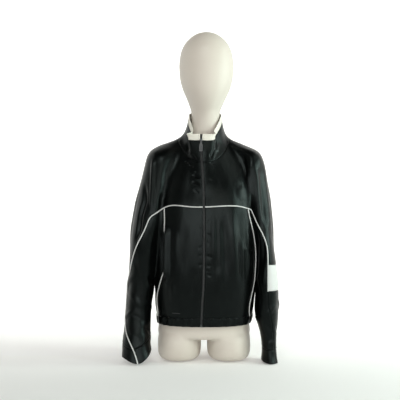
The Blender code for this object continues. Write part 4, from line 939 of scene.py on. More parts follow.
    def _collar(self, side: str, base: list[int]) -> None:
        """Stand-up collar with its bound edge.

        Args:
            side: "left" or "right".
            base: numbers of the neckline's points.
        """
        rows = [base]
        for row, step in enumerate(COLLAR_STEPS[1:], 1):
            ids = []
            for column in range(MIDDLE_BACK + 1):
                low = self.neck_point(side, column)
                top = np.array([COLLAR_TOPS[side].read(name, column) for name in ("x", "y", "z")])
                height = mix(low[2], top[2], step)
                flare = mix(1.0, COLLAR_FLARE, eased((column - 1) / FLARE_COLUMNS))
                x, y = mix(low[:2], top[:2], step**flare)
                if column == 0:
                    x = front_edge(side, height)
                ids.append(self.point(self.shared(side, column, "collar", row), (SIDES[side] * x, y, height)))
            rows.append(ids)
        rows.reverse()
        first = len(rows) - 1 - BINDING_FROM
        self._grid(rows, lambda _column, row: "collar" if row >= first else "collar_binding", side)

    @staticmethod
    def down(side: str, column: int, below: str = "", below_column: int = 0) -> list[Key]:
        """Keys down a column, from the chest seam to the underarm or on to the hem or the cuff's rim.

        Args:
            side: the side.
            column: the column at the chest seam.
            below: "body" or "sleeve", where the run goes on.
            below_column: its column there.

        Returns:
            The keys, from the top.
        """
        keys = [("chest", side, column, 0)] + [("union", side, column, row) for row in range(1, len(UNION_STEPS))]
        rows = {"": 0, "body": BODY_ROWS, "sleeve": SLEEVE_ROWS + CUFF_ROWS}[below]
        return keys + [(below, side, below_column, row) for row in range(1, rows + 1)]

    def _side_runs(self, side: str) -> dict[str, list[Key]]:
        """Keys of one side's seams, pipings and edges.

        Args:
            side: "left" or "right".

        Returns:
            The keys, by the runs' names.
        """
        collar_top = len(COLLAR_STEPS) - 1
        ring = [("sleeve", side, column, SLEEVE_ROWS) for column in range(VALLEY_BACK - VALLEY_FRONT + BRIDGE)]
        rim = [(tag, side, column, SLEEVE_ROWS + CUFF_ROWS) for tag, _, column, _ in ring]
        front_below = ("sleeve", SLEEVE_FRONT - VALLEY_FRONT) if side == "right" else ()
        back_below = ("body", BODY_BACK_SEAM)
        found = {
            "chest_piping": [("chest", side, column, 0) for column in range(SLEEVE_FRONT)]
            + self.down(side, SLEEVE_FRONT, *front_below),
            "side_piping": self.down(side, PIPED, "body", PIPED),
            "back_seam": [self.shared(side, BACK_SEAM, "upper", row) for row in range(UPPER_ROWS)]
            + self.down(side, BACK_SEAM, *back_below),
            "sleeve_seam": [("chest", side, column, 0) for column in range(BACK_SEAM, SLEEVE_BACK, -1)]
            + self.down(side, SLEEVE_BACK, "sleeve", SLEEVE_BACK - VALLEY_FRONT),
            "cuff_seam": ring + ring[:1],
            "cuff_rim": rim + rim[:1],
            "hem_seam": [("body", side, column, BODY_ROWS) for column in range(BODY_COLUMNS)]
            + [("body", "both", BODY_COLUMNS, BODY_ROWS)],
        }
        for name, column in (("front_edge", 0), ("front_inner", 1)):
            keys = [("collar", side, column, row) for row in range(collar_top, 0, -1)]
            keys += [("upper", side, column, row) for row in range(UPPER_ROWS)]
            found[name] = keys + self.down(side, column, "body", column)
        for name, tag, row in (
            ("collar_seam", "upper", 0),
            ("binding_seam", "collar", BINDING_FROM),
            ("collar_top", "collar", collar_top),
        ):
            found[name] = [self.shared(side, column, tag, row) for column in range(MIDDLE_BACK + 1)]
        return found

    def runs(self) -> dict[str, Array]:
        """Seams, pipings and edges as runs of points.

        Returns:
            Point numbers, by the runs' names.
        """
        keys = {f"{name}_{side}": run for side in SIDES for name, run in self._side_runs(side).items()}
        span = range(SLEEVE_FRONT, SLEEVE_BACK + 1)
        foot = len(UNION_STEPS) - 1
        keys["block_top"] = [("union", "left", column, BLOCK_TOP) for column in span]
        keys["block_foot"] = [("union", "left", column, foot) for column in span]
        keys["lower_seam_left"] = self.down("left", SLEEVE_FRONT, "sleeve", SLEEVE_FRONT - VALLEY_FRONT)[foot:]
        return {name: np.array([self.index[key] for key in run]) for name, run in keys.items()}

    def surface(self, steps: int) -> Surface:
        """The net evened out as the cloth hangs, and refined.

        Args:
            steps: how many times each face is cut in four.

        Returns:
            The smooth surface, not yet creased.
        """
        names = list(dict.fromkeys(self.pieces))
        made = Surface(
            np.array(self.points),
            np.concatenate([np.array(face) for face in self.faces]),
            np.array([len(face) for face in self.faces]),
            np.array([names.index(piece) for piece in self.pieces]),
            names,
            self.runs(),
        )
        edges, edge_of = made.edges()
        ends = edges.ravel()
        others = edges[:, ::-1].ravel()
        count = np.bincount(ends, minlength=len(made.points))[:, None]
        free = np.ones(len(made.points), bool)
        free[edges[np.bincount(edge_of) == 1].ravel()] = False
        for _ in range(EVENING_ROUNDS):
            means = sums(ends, made.points[others], len(made.points)) / count
            made.points[free] = mix(made.points[free], means[free], NET_EVENING)
        for _ in range(steps):
            made = made.refined()
        return made


class Face(Enum):
    """Side that a crease is drawn on, with the axis that runs across it and its outward direction."""

    FRONT = (0, (0.0, -1.0))
    BACK = (0, (0.0, 1.0))
    LEFT = (1, (1.0, 0.0))
    RIGHT = (1, (-1.0, 0.0))


LEAST_FACING = 0.1  # share of a normal that has to point the crease's way for it to show
FACING_FADE = 0.4  # further share over which it comes up to its full height
LEAN_SHARE = 0.7  # how much narrower a crease's side can be


@dataclass(frozen=True)
class Crease:
    """A ridge (or, with a height below 0, a groove) along a line drawn on one side of the jacket."""

    face: Face
    line: tuple[tuple[float, float], ...]  # (x or y, z) of its points
    height: float
    width: float  # reach to each side of the line
    lean: float = 0.0  # -1 to 1: how much narrower the side with the higher (1) or lower (-1) x or y is
    ends: float = 0.35  # share of its length over which each end fades

    def lift(self, points: Array, normals: Array) -> Array:
        """How far it moves each point along its normal.

        Args:
            points: the cloth's points.
            normals: their outward normals.

        Returns:
            One length for each point.
        """
        axis, out = self.face.value
        place = points[:, [axis, 2]]
        path = np.array(self.line)
        lift = np.zeros(len(points))
        inside = (place >= path.min(axis=0) - self.width) & (place <= path.max(axis=0) + self.width)
        near = np.flatnonzero(inside.all(axis=1))
        facing = normals[near, 0] * out[0] + normals[near, 1] * out[1]
        near, facing = near[facing > LEAST_FACING], facing[facing > LEAST_FACING]
        if not len(near):
            return lift
        place = place[near]
        lengths = np.linalg.norm(np.diff(path, axis=0), axis=1)
        total = lengths.sum()
        best = np.full(len(near), np.inf)
        run, side = np.zeros(len(near)), np.zeros(len(near))
        before = 0.0
        for start, end, length in zip(path[:-1], path[1:], lengths):
            along = (end - start) / length
            offset = place - start
            at = np.clip(offset @ along, 0, length)
            rest = offset - at[:, None] * along
            away = np.linalg.norm(rest, axis=1)
            closer = away < best
            best = np.where(closer, away, best)
            run = np.where(closer, before + at, run)
            side = np.where(closer, np.sign(rest[:, 0]), side)
            before += length
        higher, lower = (1 - LEAN_SHARE * max(0, lean) for lean in (self.lean, -self.lean))
        width = self.width * np.where(side > 0, higher, lower)
        fade = eased(np.minimum(run, total - run) / (self.ends * total)) if self.ends else 1.0
        shape = np.cos(np.clip(best / width, 0, 1) * math.pi / 2) ** 2
        lift[near] = self.height * shape * fade * eased((facing - LEAST_FACING) / FACING_FADE)
        return lift


def creases(face: Face, *rows: tuple) -> tuple[Crease, ...]:
    """Creases on one side.

    Args:
        face: the side.
        rows: each crease's line, height and width, in mm, and its other values.

    Returns:
        The creases.
    """
    return tuple(
        Crease(face, tuple((x / 1000, z / 1000) for x, z in line), height / 1000, width / 1000, *rest)
        for line, height, width, *rest in rows
    )


CREASES = creases(
    Face.FRONT,
    # fronts: long soft folds from the chest seam down, on the wearer's left
    (((27, 470), (27, 380), (29, 285)), 3.6, 12),
    (((56, 470), (62, 380), (65, 240)), -4.0, 17),
    (((84, 474), (87, 400), (92, 320), (96, 225)), 5.4, 24),
    (((107, 385), (108, 330), (110, 240)), -2.6, 6),
    (((116.5, 385), (118, 310), (119, 235)), 2.4, 8),
    (((131, 445), (134.5, 380), (139, 310), (137, 235)), 2.4, 9),
    (((43, 300), (47, 200)), 2.0, 15),
    # and on the wearer's right, where they are faint up to the bulge beside the side piping
    (((-62, 440), (-70, 260)), -1.6, 24),
    (((-84, 410), (-90, 300)), 1.8, 16),
    (((-112.5, 424), (-114, 350), (-115, 246)), 13, 13, -0.35, 0.18),
    (((-126.5, 420), (-128, 350), (-129, 255)), -9, 10, 0, 0.2),
    (((-30, 300), (-37, 200)), -1.6, 16),
    (((-98, 250), (-92, 170)), 2.0, 14),
    # puckers along the zip
    (((7, 395), (20, 388)), -2.0, 4),
    (((5, 372), (15, 365)), -1.2, 4),
    (((7, 331), (23, 322)), -2.2, 5),
    (((6, 302), (19, 296)), -2.0, 4),
    (((5, 287), (14, 281)), -1.1, 4),
    (((7, 275), (21, 267)), -1.9, 4),
    (((6, 435), (17, 430)), -1.0, 4),
    (((-6, 358), (-20, 350)), -1.1, 4),
    (((-5, 333), (-18, 327)), -1.0, 4),
    (((-5, 305), (-18, 299)), -1.3, 4),
    (((-6, 412), (-17, 408)), -0.9, 4),
    # pocket mouth and the pull above it
    (((134, 339), (150, 333)), -2.4, 4),
    (((118, 352), (136, 341)), 1.2, 5),
    # yoke: the cloth stands forward along the zip and falls back over the bust
    (((-6, 655), (-2, 500)), 7, 46, 0, 0.3),
    (((-60, 617), (-49, 609)), -2.6, 5),
    (((-47, 605), (-31, 596)), -3.2, 5),
    (((-38, 574), (-10, 560)), -3.8, 5.5),
    (((-37, 556), (-12, 538)), -3.2, 5.5),
    (((-34, 530), (-14, 518)), -2.2, 6),
    (((-44, 588), (-24, 578)), 1.4, 6),
    (((14, 612), (34, 604)), -2.4, 5),
    (((12, 560), (26, 551)), -1.0, 5),
    # yoke and sleeve head, wearer's left
    (((138, 640), (144, 570), (146, 470)), 11, 25, 0, 0.3),
    (((176, 625), (184, 560), (186, 470), (190, 400)), -9, 22, 0, 0.25),
    (((138, 590), (140.5, 530), (142, 455)), 6, 13, 0, 0.2),
    (((152, 615), (154, 550), (155, 480)), -1.6, 7),
    (((163, 610), (166, 540), (167, 475)), 1.6, 8),
    (((176, 600), (180, 530), (181, 470)), -1.4, 7),
    (((110, 545), (117, 490)), 2.5, 18),
    # yoke and sleeve head, wearer's right: one sharp fold, then the arm's own roundness
    (((-158, 632), (-161, 545), (-163, 455)), 5, 12, -0.6, 0.2),
    (
        ((-182, 560), (-181, 530), (-181, 494), (-194, 450), (-199, 404), (-213, 355)),
        -8, 10, 0, 0.3,
    ),
    (((-120, 560), (-130, 500)), 2.0, 18),
    # under-sleeve of the wearer's left: a drape with a hollow behind it
    (((160, 380), (163, 305), (172, 236), (179, 190)), 3.5, 9),
    (((178, 405), (182, 343), (179, 285)), -5, 9),
    (((186, 300), (182, 235)), 2.5, 7),
    # sleeves, from the elbow down
    (((-203, 345), (-186, 255)), 2.0, 10),
    (((-182, 270), (-164, 214)), 2.6, 8),
    (((-215, 320), (-196, 235)), -1.6, 9),
    (((-238, 215), (-185, 160)), 1.5, 13),
    (((-228, 150), (-176, 115)), -1.6, 12),
    (((-232, 98), (-196, 70)), 1.4, 10),
    (((-180, 90), (-190, 45)), 2.0, 9),
    (((224, 185), (190, 140)), 2.2, 11),
    (((186, 125), (214, 85)), -2.2, 10),
    (((216, 70), (190, 48)), 1.8, 8),
    # collar
    (((-42, 643), (-20, 617)), -2.6, 6),
    (((-53, 678), (-47, 645)), -3.0, 9),
    (((36, 695), (31, 650), (17, 617)), -3.2, 6),
    (((17, 640), (20, 624)), -2.0, 4),
    (((44, 676), (38, 640)), 2.0, 8),
) + creases(
    Face.BACK,
    (((0, 600), (10, 330)), -5, 32),
    (((80, 560), (62, 200)), 5, 24),
    (((-85, 550), (-70, 210)), 5, 24),
    (((140, 600), (172, 470)), 6, 24),
    (((-145, 600), (-180, 470)), 6, 24),
    (((40, 480), (30, 225)), 2.8, 15),
    (((-34, 450), (-40, 200)), 3.0, 17),
    (((112, 470), (104, 175)), -3.0, 14),
    (((-116, 455), (-108, 190)), -3.0, 13),
    (((18, 236), (82, 192)), 2.8, 12),
    (((-85, 232), (-18, 204)), -2.6, 12),
    (((-40, 182), (25, 170)), 2.2, 10),
    (((-110, 585), (-42, 525)), 3.0, 16),
    (((104, 592), (48, 530)), 3.0, 15),
    (((150, 520), (118, 430)), -3.0, 13),
    (((-152, 515), (-122, 420)), -3.0, 14),
    (((195, 430), (206, 300)), 3.0, 14),
    (((-202, 410), (-216, 290)), 3.0, 14),
    (((178, 205), (222, 176)), -2.6, 11),
    (((-184, 262), (-232, 222)), -3.0, 12),
    (((182, 160), (220, 140)), 2.4, 10),
    (((-188, 205), (-236, 168)), 2.6, 11),
    (((-184, 140), (-230, 110)), -2.2, 10),
    (((180, 100), (215, 78)), -2.0, 9),
) + creases(
    Face.LEFT,
    (((-30, 570), (-42, 330)), 3.5, 18),
    (((24, 545), (14, 320)), -3.0, 18),
    (((60, 470), (46, 310)), 2.6, 14),
    (((-75, 190), (-30, 150)), 2.6, 12),
    (((5, 175), (-35, 128)), -2.4, 11),
    (((-85, 110), (-50, 78)), -2.4, 10),
    (((-30, 90), (-50, 52)), 2.0, 9),
) + creases(
    Face.RIGHT,
    (((-40, 560), (-48, 340)), 3.2, 17),
    (((18, 550), (6, 300)), -3.2, 19),
    (((56, 480), (50, 280)), 3.0, 14),
    (((-85, 270), (-20, 215)), 3.0, 14),
    (((20, 235), (-40, 180)), -3.0, 13),
    (((-90, 160), (-35, 118)), 2.6, 12),
    (((-10, 125), (-45, 75)), -2.2, 10),
)


DIPPED = ("collar_seam", "back_seam", "sleeve_seam", "cuff_seam", "lower_seam", "block")  # runs that pull the cloth in


@dataclass
class Drape:
    """How the cloth hangs: listed creases, slack between them, and the pull of the seams."""

    creases: tuple[Crease, ...]
    slack: float = 0.0008
    broad: tuple[float, float, float] = (0.034, 0.040, 0.120)  # size of the slack's waves
    small: tuple[float, float, float] = (0.013, 0.015, 0.050)  # and of the small ones on them
    small_share: float = 0.35
    seam_dip: float = 0.0008

    def slack_at(self, points: Array) -> Array:
        """Uneven softness, drawn out downwards, from smooth noise.

        Args:
            points: the cloth's points.

        Returns:
            One length for each point.
        """
        waves = np.empty(len(points))
        for i, (x, y, z) in enumerate(points):
            broad = noise.noise(Vector((x / self.broad[0] + 3.1, y / self.broad[1], z / self.broad[2])))
            small = noise.noise(Vector((x / self.small[0], y / self.small[1] + 7.7, z / self.small[2])))
            waves[i] = broad + self.small_share * small
        return waves * self.slack

    def shape(self, made: Surface) -> Array:
        """Points of the cloth as it hangs.

        Args:
            made: the smooth surface.

        Returns:
            Its points, creased.
        """
        normals = made.normals()
        lift = sum(crease.lift(made.points, normals) for crease in self.creases)
        lift = lift + self.slack_at(made.points)
        for name, run in made.runs.items():
            if name.startswith(DIPPED):
                lift[run] -= self.seam_dip
        return made.points + normals * lift[:, None]


class Slot(Enum):
    """Finishes of the part, by the record's names for them."""

    SATIN = "black_satin"
    WHITE = "white_cloth"
    IVORY = "ivory_cloth"
    TAPE = "zip_tape"
    COIL = "zip_coil"
    METAL = "zip_metal"
    FORM = "form_shell"


def linked(name: str, data: bpy.types.ID) -> bpy.types.Object:
    """A new object of some data, in the scene.

    Args:
        name: its name.
        data: its mesh, light or camera.

    Returns:
        The object.
    """
    made = bpy.data.objects.new(name, data)
    bpy.context.scene.collection.objects.link(made)
    return made


def mesh_object(
    name: str, points: Array, faces: list, material: bpy.types.Material, soft: bool = True
) -> bpy.types.Object:
    """A new mesh object, in the scene.

    Args:
        name: its name.
        points: its points in the model's frame.
        faces: lists of point numbers.
        material: its material.
        soft: whether its faces are shaded smooth.

    Returns:
        The object.
    """
    mesh = bpy.data.meshes.new(name)
    mesh.from_pydata(points, [], faces)
    mesh.validate()
    mesh.polygons.foreach_set("use_smooth", [soft] * len(mesh.polygons))
    mesh.materials.append(material)
    return linked(name, mesh)


class Frame:
    """Makes the pieces, and moves them from the jacket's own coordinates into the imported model's frame."""

    def __init__(self, materials: dict[Slot, bpy.types.Material]) -> None:
        """Find the move from the torso's corner, which is known in both."""
        self.materials = materials
        self.move = np.array(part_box("display_torso")[0]) - np.array(TORSO_CORNER)

    def add(
        self, name: str, points: Array, faces: list, slot: Slot, node: str = "", body: str = "jacket", soft: bool = True
    ) -> bpy.types.Object:
        """Make a piece that rides on a body.

        Args:
            name: the piece's name.
            points: its points in the jacket's coordinates.
            faces: lists of point numbers.
            slot: its finish.
            node: the CAD node that it stands for, or nothing.
            body: the CAD body that it moves with.
            soft: whether its faces are shaded smooth.

        Returns:
            The piece.
        """
        made = mesh_object(name, np.asarray(points) + self.move, faces, self.materials[slot], soft)
        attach(made, body)
        if node:
            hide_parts(node)
        return made


def shell(points: Array, normals: Array, quads: Array, thickness: float) -> tuple[Array, list]:
    """Thin closed wall under some faces of a surface.

    Args:
        points: all points of the surface.
        normals: their outward normals.
        quads: the faces of the wall's outer side.
        thickness: how thick the wall is.

    Returns:
        The wall's points and faces.
    """
    used, local = np.unique(quads.ravel(), return_inverse=True)
    quads = local.reshape(quads.shape)
    count = len(used)
    outer = points[used]
    inner = outer - normals[used] * thickness
    starts, ends = quads.ravel(), np.roll(quads, -1, axis=1).ravel()
    codes, back = starts * count + ends, ends * count + starts
    rim = ~np.isin(back, codes)
    a, b = starts[rim], ends[rim]
    walls = np.stack([b, a, a + count, b + count], axis=1)
    faces = np.concatenate([quads, quads[:, ::-1] + count, walls])
    return np.concatenate([outer, inner]), faces.tolist()


def grid_quads(rows: int, columns: int, closed: bool = False) -> Array:
    """Faces between rows of points that are numbered row after row.

    Args:
        rows: how many rows there are.
        columns: how many points each row has.
        closed: whether each row's last point joins its first.

    Returns:
        The faces, each with this row's point, the next row's, and both of the next column.
    """
    ids = np.arange(rows * columns).reshape(rows, columns)
    if closed:
        ids = np.concatenate([ids, ids[:, :1]], axis=1)
    return np.stack([ids[:-1, :-1], ids[1:, :-1], ids[1:, 1:], ids[:-1, 1:]], axis=-1).reshape(-1, 4)


def even_path(path: Array, spacing: float) -> Array:
    """Rows along a path at one even spacing.

    Args:
        path: its rows, whose first three columns measure the length.
        spacing: the length from one new row to the next.

    Returns:
        The new rows.
    """
    lengths = run_lengths(path[:, :3])
    stops = np.linspace(0, lengths[-1], max(3, round(lengths[-1] / spacing) + 1))
    return np.stack([np.interp(stops, lengths, path[:, i]) for i in range(path.shape[1])], axis=1)


def evened(path: Array, rounds: int) -> Array:
    """A path rounded off by averaging each point with its neighbours, its ends held.

    Args:
        path: its points.
        rounds: how often they are averaged.

    Returns:
        The new points.
    """
    path = path.copy()
    for _ in range(rounds):
        path[1:-1] = path[1:-1] / 2 + (path[:-2] + path[2:]) / 4
    return path


TUBE_SIDES = 12
TUBE_TIPS = ((-0.38, 0.70), (-0.15, 0.93))  # rings round each end: their place, in heights, and their size


def tube(centres: Array, outs: Array, half_width: float, half_height: float) -> tuple[Array, list]:
    """Round-ended tube of oval section.

    Args:
        centres: points along its middle.
        outs: the direction that the section's height stands in, at each of them.
        half_width: half its width across.
        half_height: half its height.

    Returns:
        Its points and faces.
    """
    along = unit(np.gradient(centres, axis=0))
    across = unit(np.cross(along, outs))
    up = np.cross(across, along)
    angles = (np.arange(TUBE_SIDES) + 0.5) * math.tau / TUBE_SIDES
    rings = [(0, move * half_height * 2, share) for move, share in TUBE_TIPS]
    rings += [(at, 0.0, 1.0) for at in range(1, len(centres) - 1)]
    rings += [(len(centres) - 1, -move * half_height * 2, share) for move, share in reversed(TUBE_TIPS)]
    points = [
        centres[at]
        + along[at] * move
        + share * half_width * np.cos(angles)[:, None] * across[at]
        + share * half_height * np.sin(angles)[:, None] * up[at]
        for at, move, share in rings
    ]
    faces = grid_quads(len(rings), TUBE_SIDES, True).tolist()
    last = (len(rings) - 1) * TUBE_SIDES
    faces += [list(range(TUBE_SIDES)), list(range(last, last + TUBE_SIDES))[::-1]]
    return np.concatenate(points), faces


NOISE_LOW = 0.3  # values that a noise mostly stays between
NOISE_HIGH = 0.7


class Shader:
    """Node tree of one finish."""

    def __init__(self, name: str, colour: tuple[float, float, float], roughness: float, **values: float) -> None:
        """Start a Principled finish.

        Args:
            name: the material's name.
            colour: its main colour, linear.
            roughness: its roughness.
            values: other sockets of the shader, with _ for spaces.
        """
        self.material = bpy.data.materials.new(name)
        self.material.use_nodes = True
        self.tree = self.material.node_tree
        self.base = self.tree.nodes["Principled BSDF"]
        self.base.inputs["Base Color"].default_value = (*colour, 1.0)
        self.base.inputs["Roughness"].default_value = roughness
        for key, value in values.items():
            self.base.inputs[key.replace("_", " ")].default_value = value
        self.place = self.tree.nodes.new("ShaderNodeTexCoord").outputs["Object"]
        self.material.diffuse_color = (*colour, 1.0)

    def node(self, kind: str, inputs: dict, **settings: object) -> bpy.types.Node:
        """Add a node.

        Args:
            kind: its type, without ShaderNode.
            inputs: values, or the sockets that feed them.
            settings: its other settings.

        Returns:
            The node.
        """
        made = self.tree.nodes.new("ShaderNode" + kind)
        for key, value in settings.items():
            setattr(made, key, value)
        for key, value in inputs.items():
            if isinstance(value, bpy.types.NodeSocket):
                self.tree.links.new(value, made.inputs[key])
            else:
                made.inputs[key].default_value = value
        return made

    def noise(
        self, scale: float, detail: float = 2.0, stretch: tuple[float, float, float] = (1, 1, 1)
    ) -> bpy.types.NodeSocket:
        """Smooth noise over the piece's own place, drawn out where stretch is below 1."""
        place = self.node("Mapping", {"Vector": self.place, "Scale": stretch}).outputs[0]
        return self.node("TexNoise", {"Vector": place, "Scale": scale, "Detail": detail}).outputs["Fac"]

    def thread(self, pitch: float, way: str) -> bpy.types.NodeSocket:
        """Fine even bands, a thread's pitch apart."""
        inputs = {"Vector": self.place, "Scale": math.tau / 20 / pitch, "Distortion": 0.4}
        return self.node("TexWave", inputs, bands_direction=way).outputs["Fac"]

    def between(self, factor: bpy.types.NodeSocket, low: float, high: float) -> bpy.types.NodeSocket:
        """A number that follows a factor from low to high."""
        inputs = {"Value": factor, "From Min": NOISE_LOW, "From Max": NOISE_HIGH, "To Min": low, "To Max": high}
        return self.node("MapRange", inputs).outputs[0]

    def tint(self, factor: bpy.types.NodeSocket, low: tuple, high: tuple) -> None:
        """Let the colour follow a factor between two.

        Args:
            factor: what it follows.
            low: the colour at 0.
            high: the colour at 1.
        """
        made = self.node("Mix", {"Factor": factor}, data_type="RGBA")
        made.inputs[6].default_value = (*low, 1.0)
        made.inputs[7].default_value = (*high, 1.0)
        self.tree.links.new(made.outputs[2], self.base.inputs["Base Color"])

    def rough(self, factor: bpy.types.NodeSocket, low: float, high: float) -> None:
        """Let the roughness follow a factor."""
        self.tree.links.new(self.between(factor, low, high), self.base.inputs["Roughness"])

    def relief(self, *layers: tuple[bpy.types.NodeSocket, float]) -> None:
        """Bump from heights, each with its depth in metres, one over the other.

        Args:
            layers: each height and its depth in metres, the lowest layer first.
        """
        under = None
        for height, depth in layers:
            inputs = {"Height": height, "Distance": depth, "Strength": 1.0}
            if under:
                inputs["Normal"] = under
            under = self.node("Bump", inputs).outputs[0]
        self.tree.links.new(under, self.base.inputs["Normal"])


@dataclass(frozen=True)
class Satin:
    """Black polyester satin: a tight, faintly cool weave with a soft gloss."""

    name: str = "black_satin"
    dark: tuple[float, float, float] = (0.0008, 0.0010, 0.0010)
    light: tuple[float, float, float] = (0.0014, 0.0018, 0.0017)
    gloss: tuple[float, float] = (0.28, 0.35)
    thread: float = 0.00055

    def material(self) -> bpy.types.Material:
        """The finish's material.

        Returns:
            The material.
        """
        made = Shader(self.name, self.light, 0.31, Sheen_Weight=0.002, Sheen_Roughness=0.35, Specular_IOR_Level=0.15)
        made.base.inputs["Specular Tint"].default_value = (0.84, 1.0, 0.99, 1.0)
        made.base.inputs["Sheen Tint"].default_value = (0.72, 0.86, 0.90, 1.0)
        made.tint(made.noise(26, 3), self.dark, self.light)
        made.rough(made.noise(60, 3, (1, 1, 0.3)), *self.gloss)
        made.relief((made.thread(self.thread, "DIAGONAL"), 0.00002), (made.noise(320, 2, (1, 1, 0.35)), 0.00006))
        return made.material


@dataclass(frozen=True)
class PlainCloth:
    """Plain woven cloth, in one colour with a slight unevenness."""

    name: str
    colour: tuple[float, float, float]
    shade: tuple[float, float, float]
    gloss: float = 0.5
    thread: float = 0.0005
    sheen: float = 0.15

    def material(self) -> bpy.types.Material:
        """The finish's material.

        Returns:
            The material.
        """
        made = Shader(self.name, self.colour, self.gloss, Sheen_Weight=self.sheen, Sheen_Roughness=0.4)
        made.tint(made.noise(45, 3), self.colour, self.shade)
        made.rough(made.noise(90, 2), self.gloss - 0.05, self.gloss + 0.06)
        made.relief((made.thread(self.thread, "X"), 0.00004), (made.thread(self.thread, "Z"), 0.00004))
        return made.material


@dataclass(frozen=True)
class PlatedMetal:
    """Dark plated zip metal, a little worn to a brighter tone."""

    name: str = "dark_zip_metal"
    colour: tuple[float, float, float] = (0.045, 0.048, 0.050)
    worn: tuple[float, float, float] = (0.13, 0.135, 0.14)

    def material(self) -> bpy.types.Material:
        """The finish's material.

        Returns:
            The material.
        """
        made = Shader(self.name, self.colour, 0.32, Metallic=1.0)
        made.tint(made.noise(420, 4), self.colour, self.worn)
        made.rough(made.noise(500, 3), 0.24, 0.42)
        made.relief((made.noise(900, 3), 0.00004))
        return made.material


@dataclass(frozen=True)
class MouldedShell:
    """Smooth moulded display form, matt with the faintest ripple."""

    name: str = "form_shell"
    colour: tuple[float, float, float] = (0.585, 0.54, 0.478)
    shade: tuple[float, float, float] = (0.557, 0.51, 0.449)

    def material(self) -> bpy.types.Material:
        """The finish's material.

        Returns:
            The material.
        """
        made = Shader(self.name, self.colour, 0.46)
        made.tint(made.noise(7, 3), self.colour, self.shade)
        made.rough(made.noise(30, 3), 0.42, 0.52)
        made.relief((made.noise(240, 3), 0.00005))
        return made.material


def mixed() -> dict[Slot, bpy.types.Material]:
    """Mix every finish of the part.

    Returns:
        The materials.
    """
    looks = {
        Slot.SATIN: Satin(),
        Slot.WHITE: PlainCloth("white_cloth", (0.57, 0.58, 0.57), (0.52, 0.53, 0.52), 0.45),
        Slot.IVORY: PlainCloth("ivory_cloth", (0.71, 0.69, 0.615), (0.645, 0.627, 0.553), 0.6),
        Slot.TAPE: PlainCloth("zip_tape", (0.016, 0.018, 0.019), (0.010, 0.011, 0.012), 0.7, 0.0008, 0.02),
        Slot.COIL: PlainCloth("zip_coil", (0.018, 0.020, 0.0205), (0.011, 0.012, 0.0125), 0.5, 0.0005, 0.02),
        Slot.METAL: PlatedMetal(),
        Slot.FORM: MouldedShell(),
    }
    return {slot: look.material() for slot, look in looks.items()}


@dataclass(frozen=True)
class Cut:
    """One cut piece: its flat size and area, in metres, and its finish."""

    width: float
    length: float
    area: float
    slot: Slot = Slot.SATIN


CUTS = {
    "upper_left": Cut(0.33, 0.57, 0.121),
    "upper_right": Cut(0.33, 0.70, 0.142),
    "back": Cut(0.36, 0.60, 0.136),
    "front_left": Cut(0.190, 0.345, 0.0567),
    "front_right": Cut(0.165, 0.345, 0.0473),
    "side_left": Cut(0.11, 0.345, 0.0281),
    "side_right": Cut(0.115, 0.35, 0.0310),
    "under_sleeve_left": Cut(0.17, 0.44, 0.0516),
    "under_sleeve_right": Cut(0.21, 0.44, 0.0660),
    "sleeve_block_left": Cut(0.17, 0.085, 0.0132, Slot.WHITE),
    "sleeve_lower_left": Cut(0.165, 0.175, 0.0225),
    "cuff_left": Cut(0.228, 0.040, 0.0089),
    "cuff_right": Cut(0.325, 0.040, 0.0124),
    "collar": Cut(0.57, 0.075, 0.0293),
    "collar_binding": Cut(0.476, 0.022, 0.0078, Slot.IVORY),
}


@dataclass
class Garment:
    """All the cloth of the net, cut along its seams into thin pieces."""

    frame: Frame
    steps: int = 3
    thickness: float = 0.0009
    drape: Drape = field(default_factory=lambda: Drape(CREASES))

    def __post_init__(self) -> None:
        """Lay out the net, hang it, and make its faces ready for what is sewn on them."""
        self.made = JacketNet().surface(self.steps)
        self.made.points = self.drape.shape(self.made)
        self.normals = self.made.normals()
        self.quads = self.made.corners.reshape(-1, 4)
        self.tree = bvhtree.BVHTree.FromPolygons(self.made.points.tolist(), self.quads.tolist())

    def build(self) -> list[bpy.types.Object]:
        """Make each cut piece.

        Returns:
            The pieces.
        """
        made = []
        for at, name in enumerate(self.made.names):
            cut = CUTS[name]
            quads = self.quads[self.made.pieces == at]
            points, faces = shell(self.made.points, self.normals, quads, self.thickness)
            piece = self.frame.add("cloth_" + name, points, faces, cut.slot, name)
            made.append(piece)
        return made

    def along(self, name: str, spacing: float, rounds: int) -> tuple[Array, Array]:
        """Evenly spaced points of a run.

        Args:
            name: the run.
            spacing: from one point to the next.
            rounds: how often they are evened out.

        Returns:
            The points, and the cloth's normals there.
        """
        run = self.made.runs[name]
        both = np.concatenate([self.made.points[run], self.normals[run]], axis=1)
        both = evened(even_path(both, spacing), rounds)
        return both[:, :3], unit(both[:, 3:])


@dataclass
class Piping:
    """White corded piping in the chest, side and sleeve seams."""

    garment: Garment
    width: float = 0.0036
    height: float = 0.0028
    lift: float = 0.0004
    spacing: float = 0.003
    tip: float = 0.0005  # from the front edge to the chest piping's end
    branch: float = 0.0036  # from the chest piping's middle to the side piping's end
    chest_rounds: int = 36  # how often its line is evened out
    side_rounds: int = 10

    def build(self) -> list[bpy.types.Object]:
        """Make the four runs.

        Returns:
            The pieces.
        """
        kinds = (("chest", self.tip, self.chest_rounds), ("side", self.branch, self.side_rounds))
        made = []
        for side in SIDES:
            for kind, start, rounds in kinds:
                name = f"{kind}_piping_{side}"
                centres, outs = self.garment.along(name, self.spacing, rounds)
                centres = centres + outs * (self.lift + self.height / 2)
                centres[0] += unit(centres[1] - centres[0]) * start
                points, faces = tube(centres, outs, self.width / 2, self.height / 2)
                made.append(self.garment.frame.add("corded_" + name, points, faces, Slot.WHITE, name))
        return made


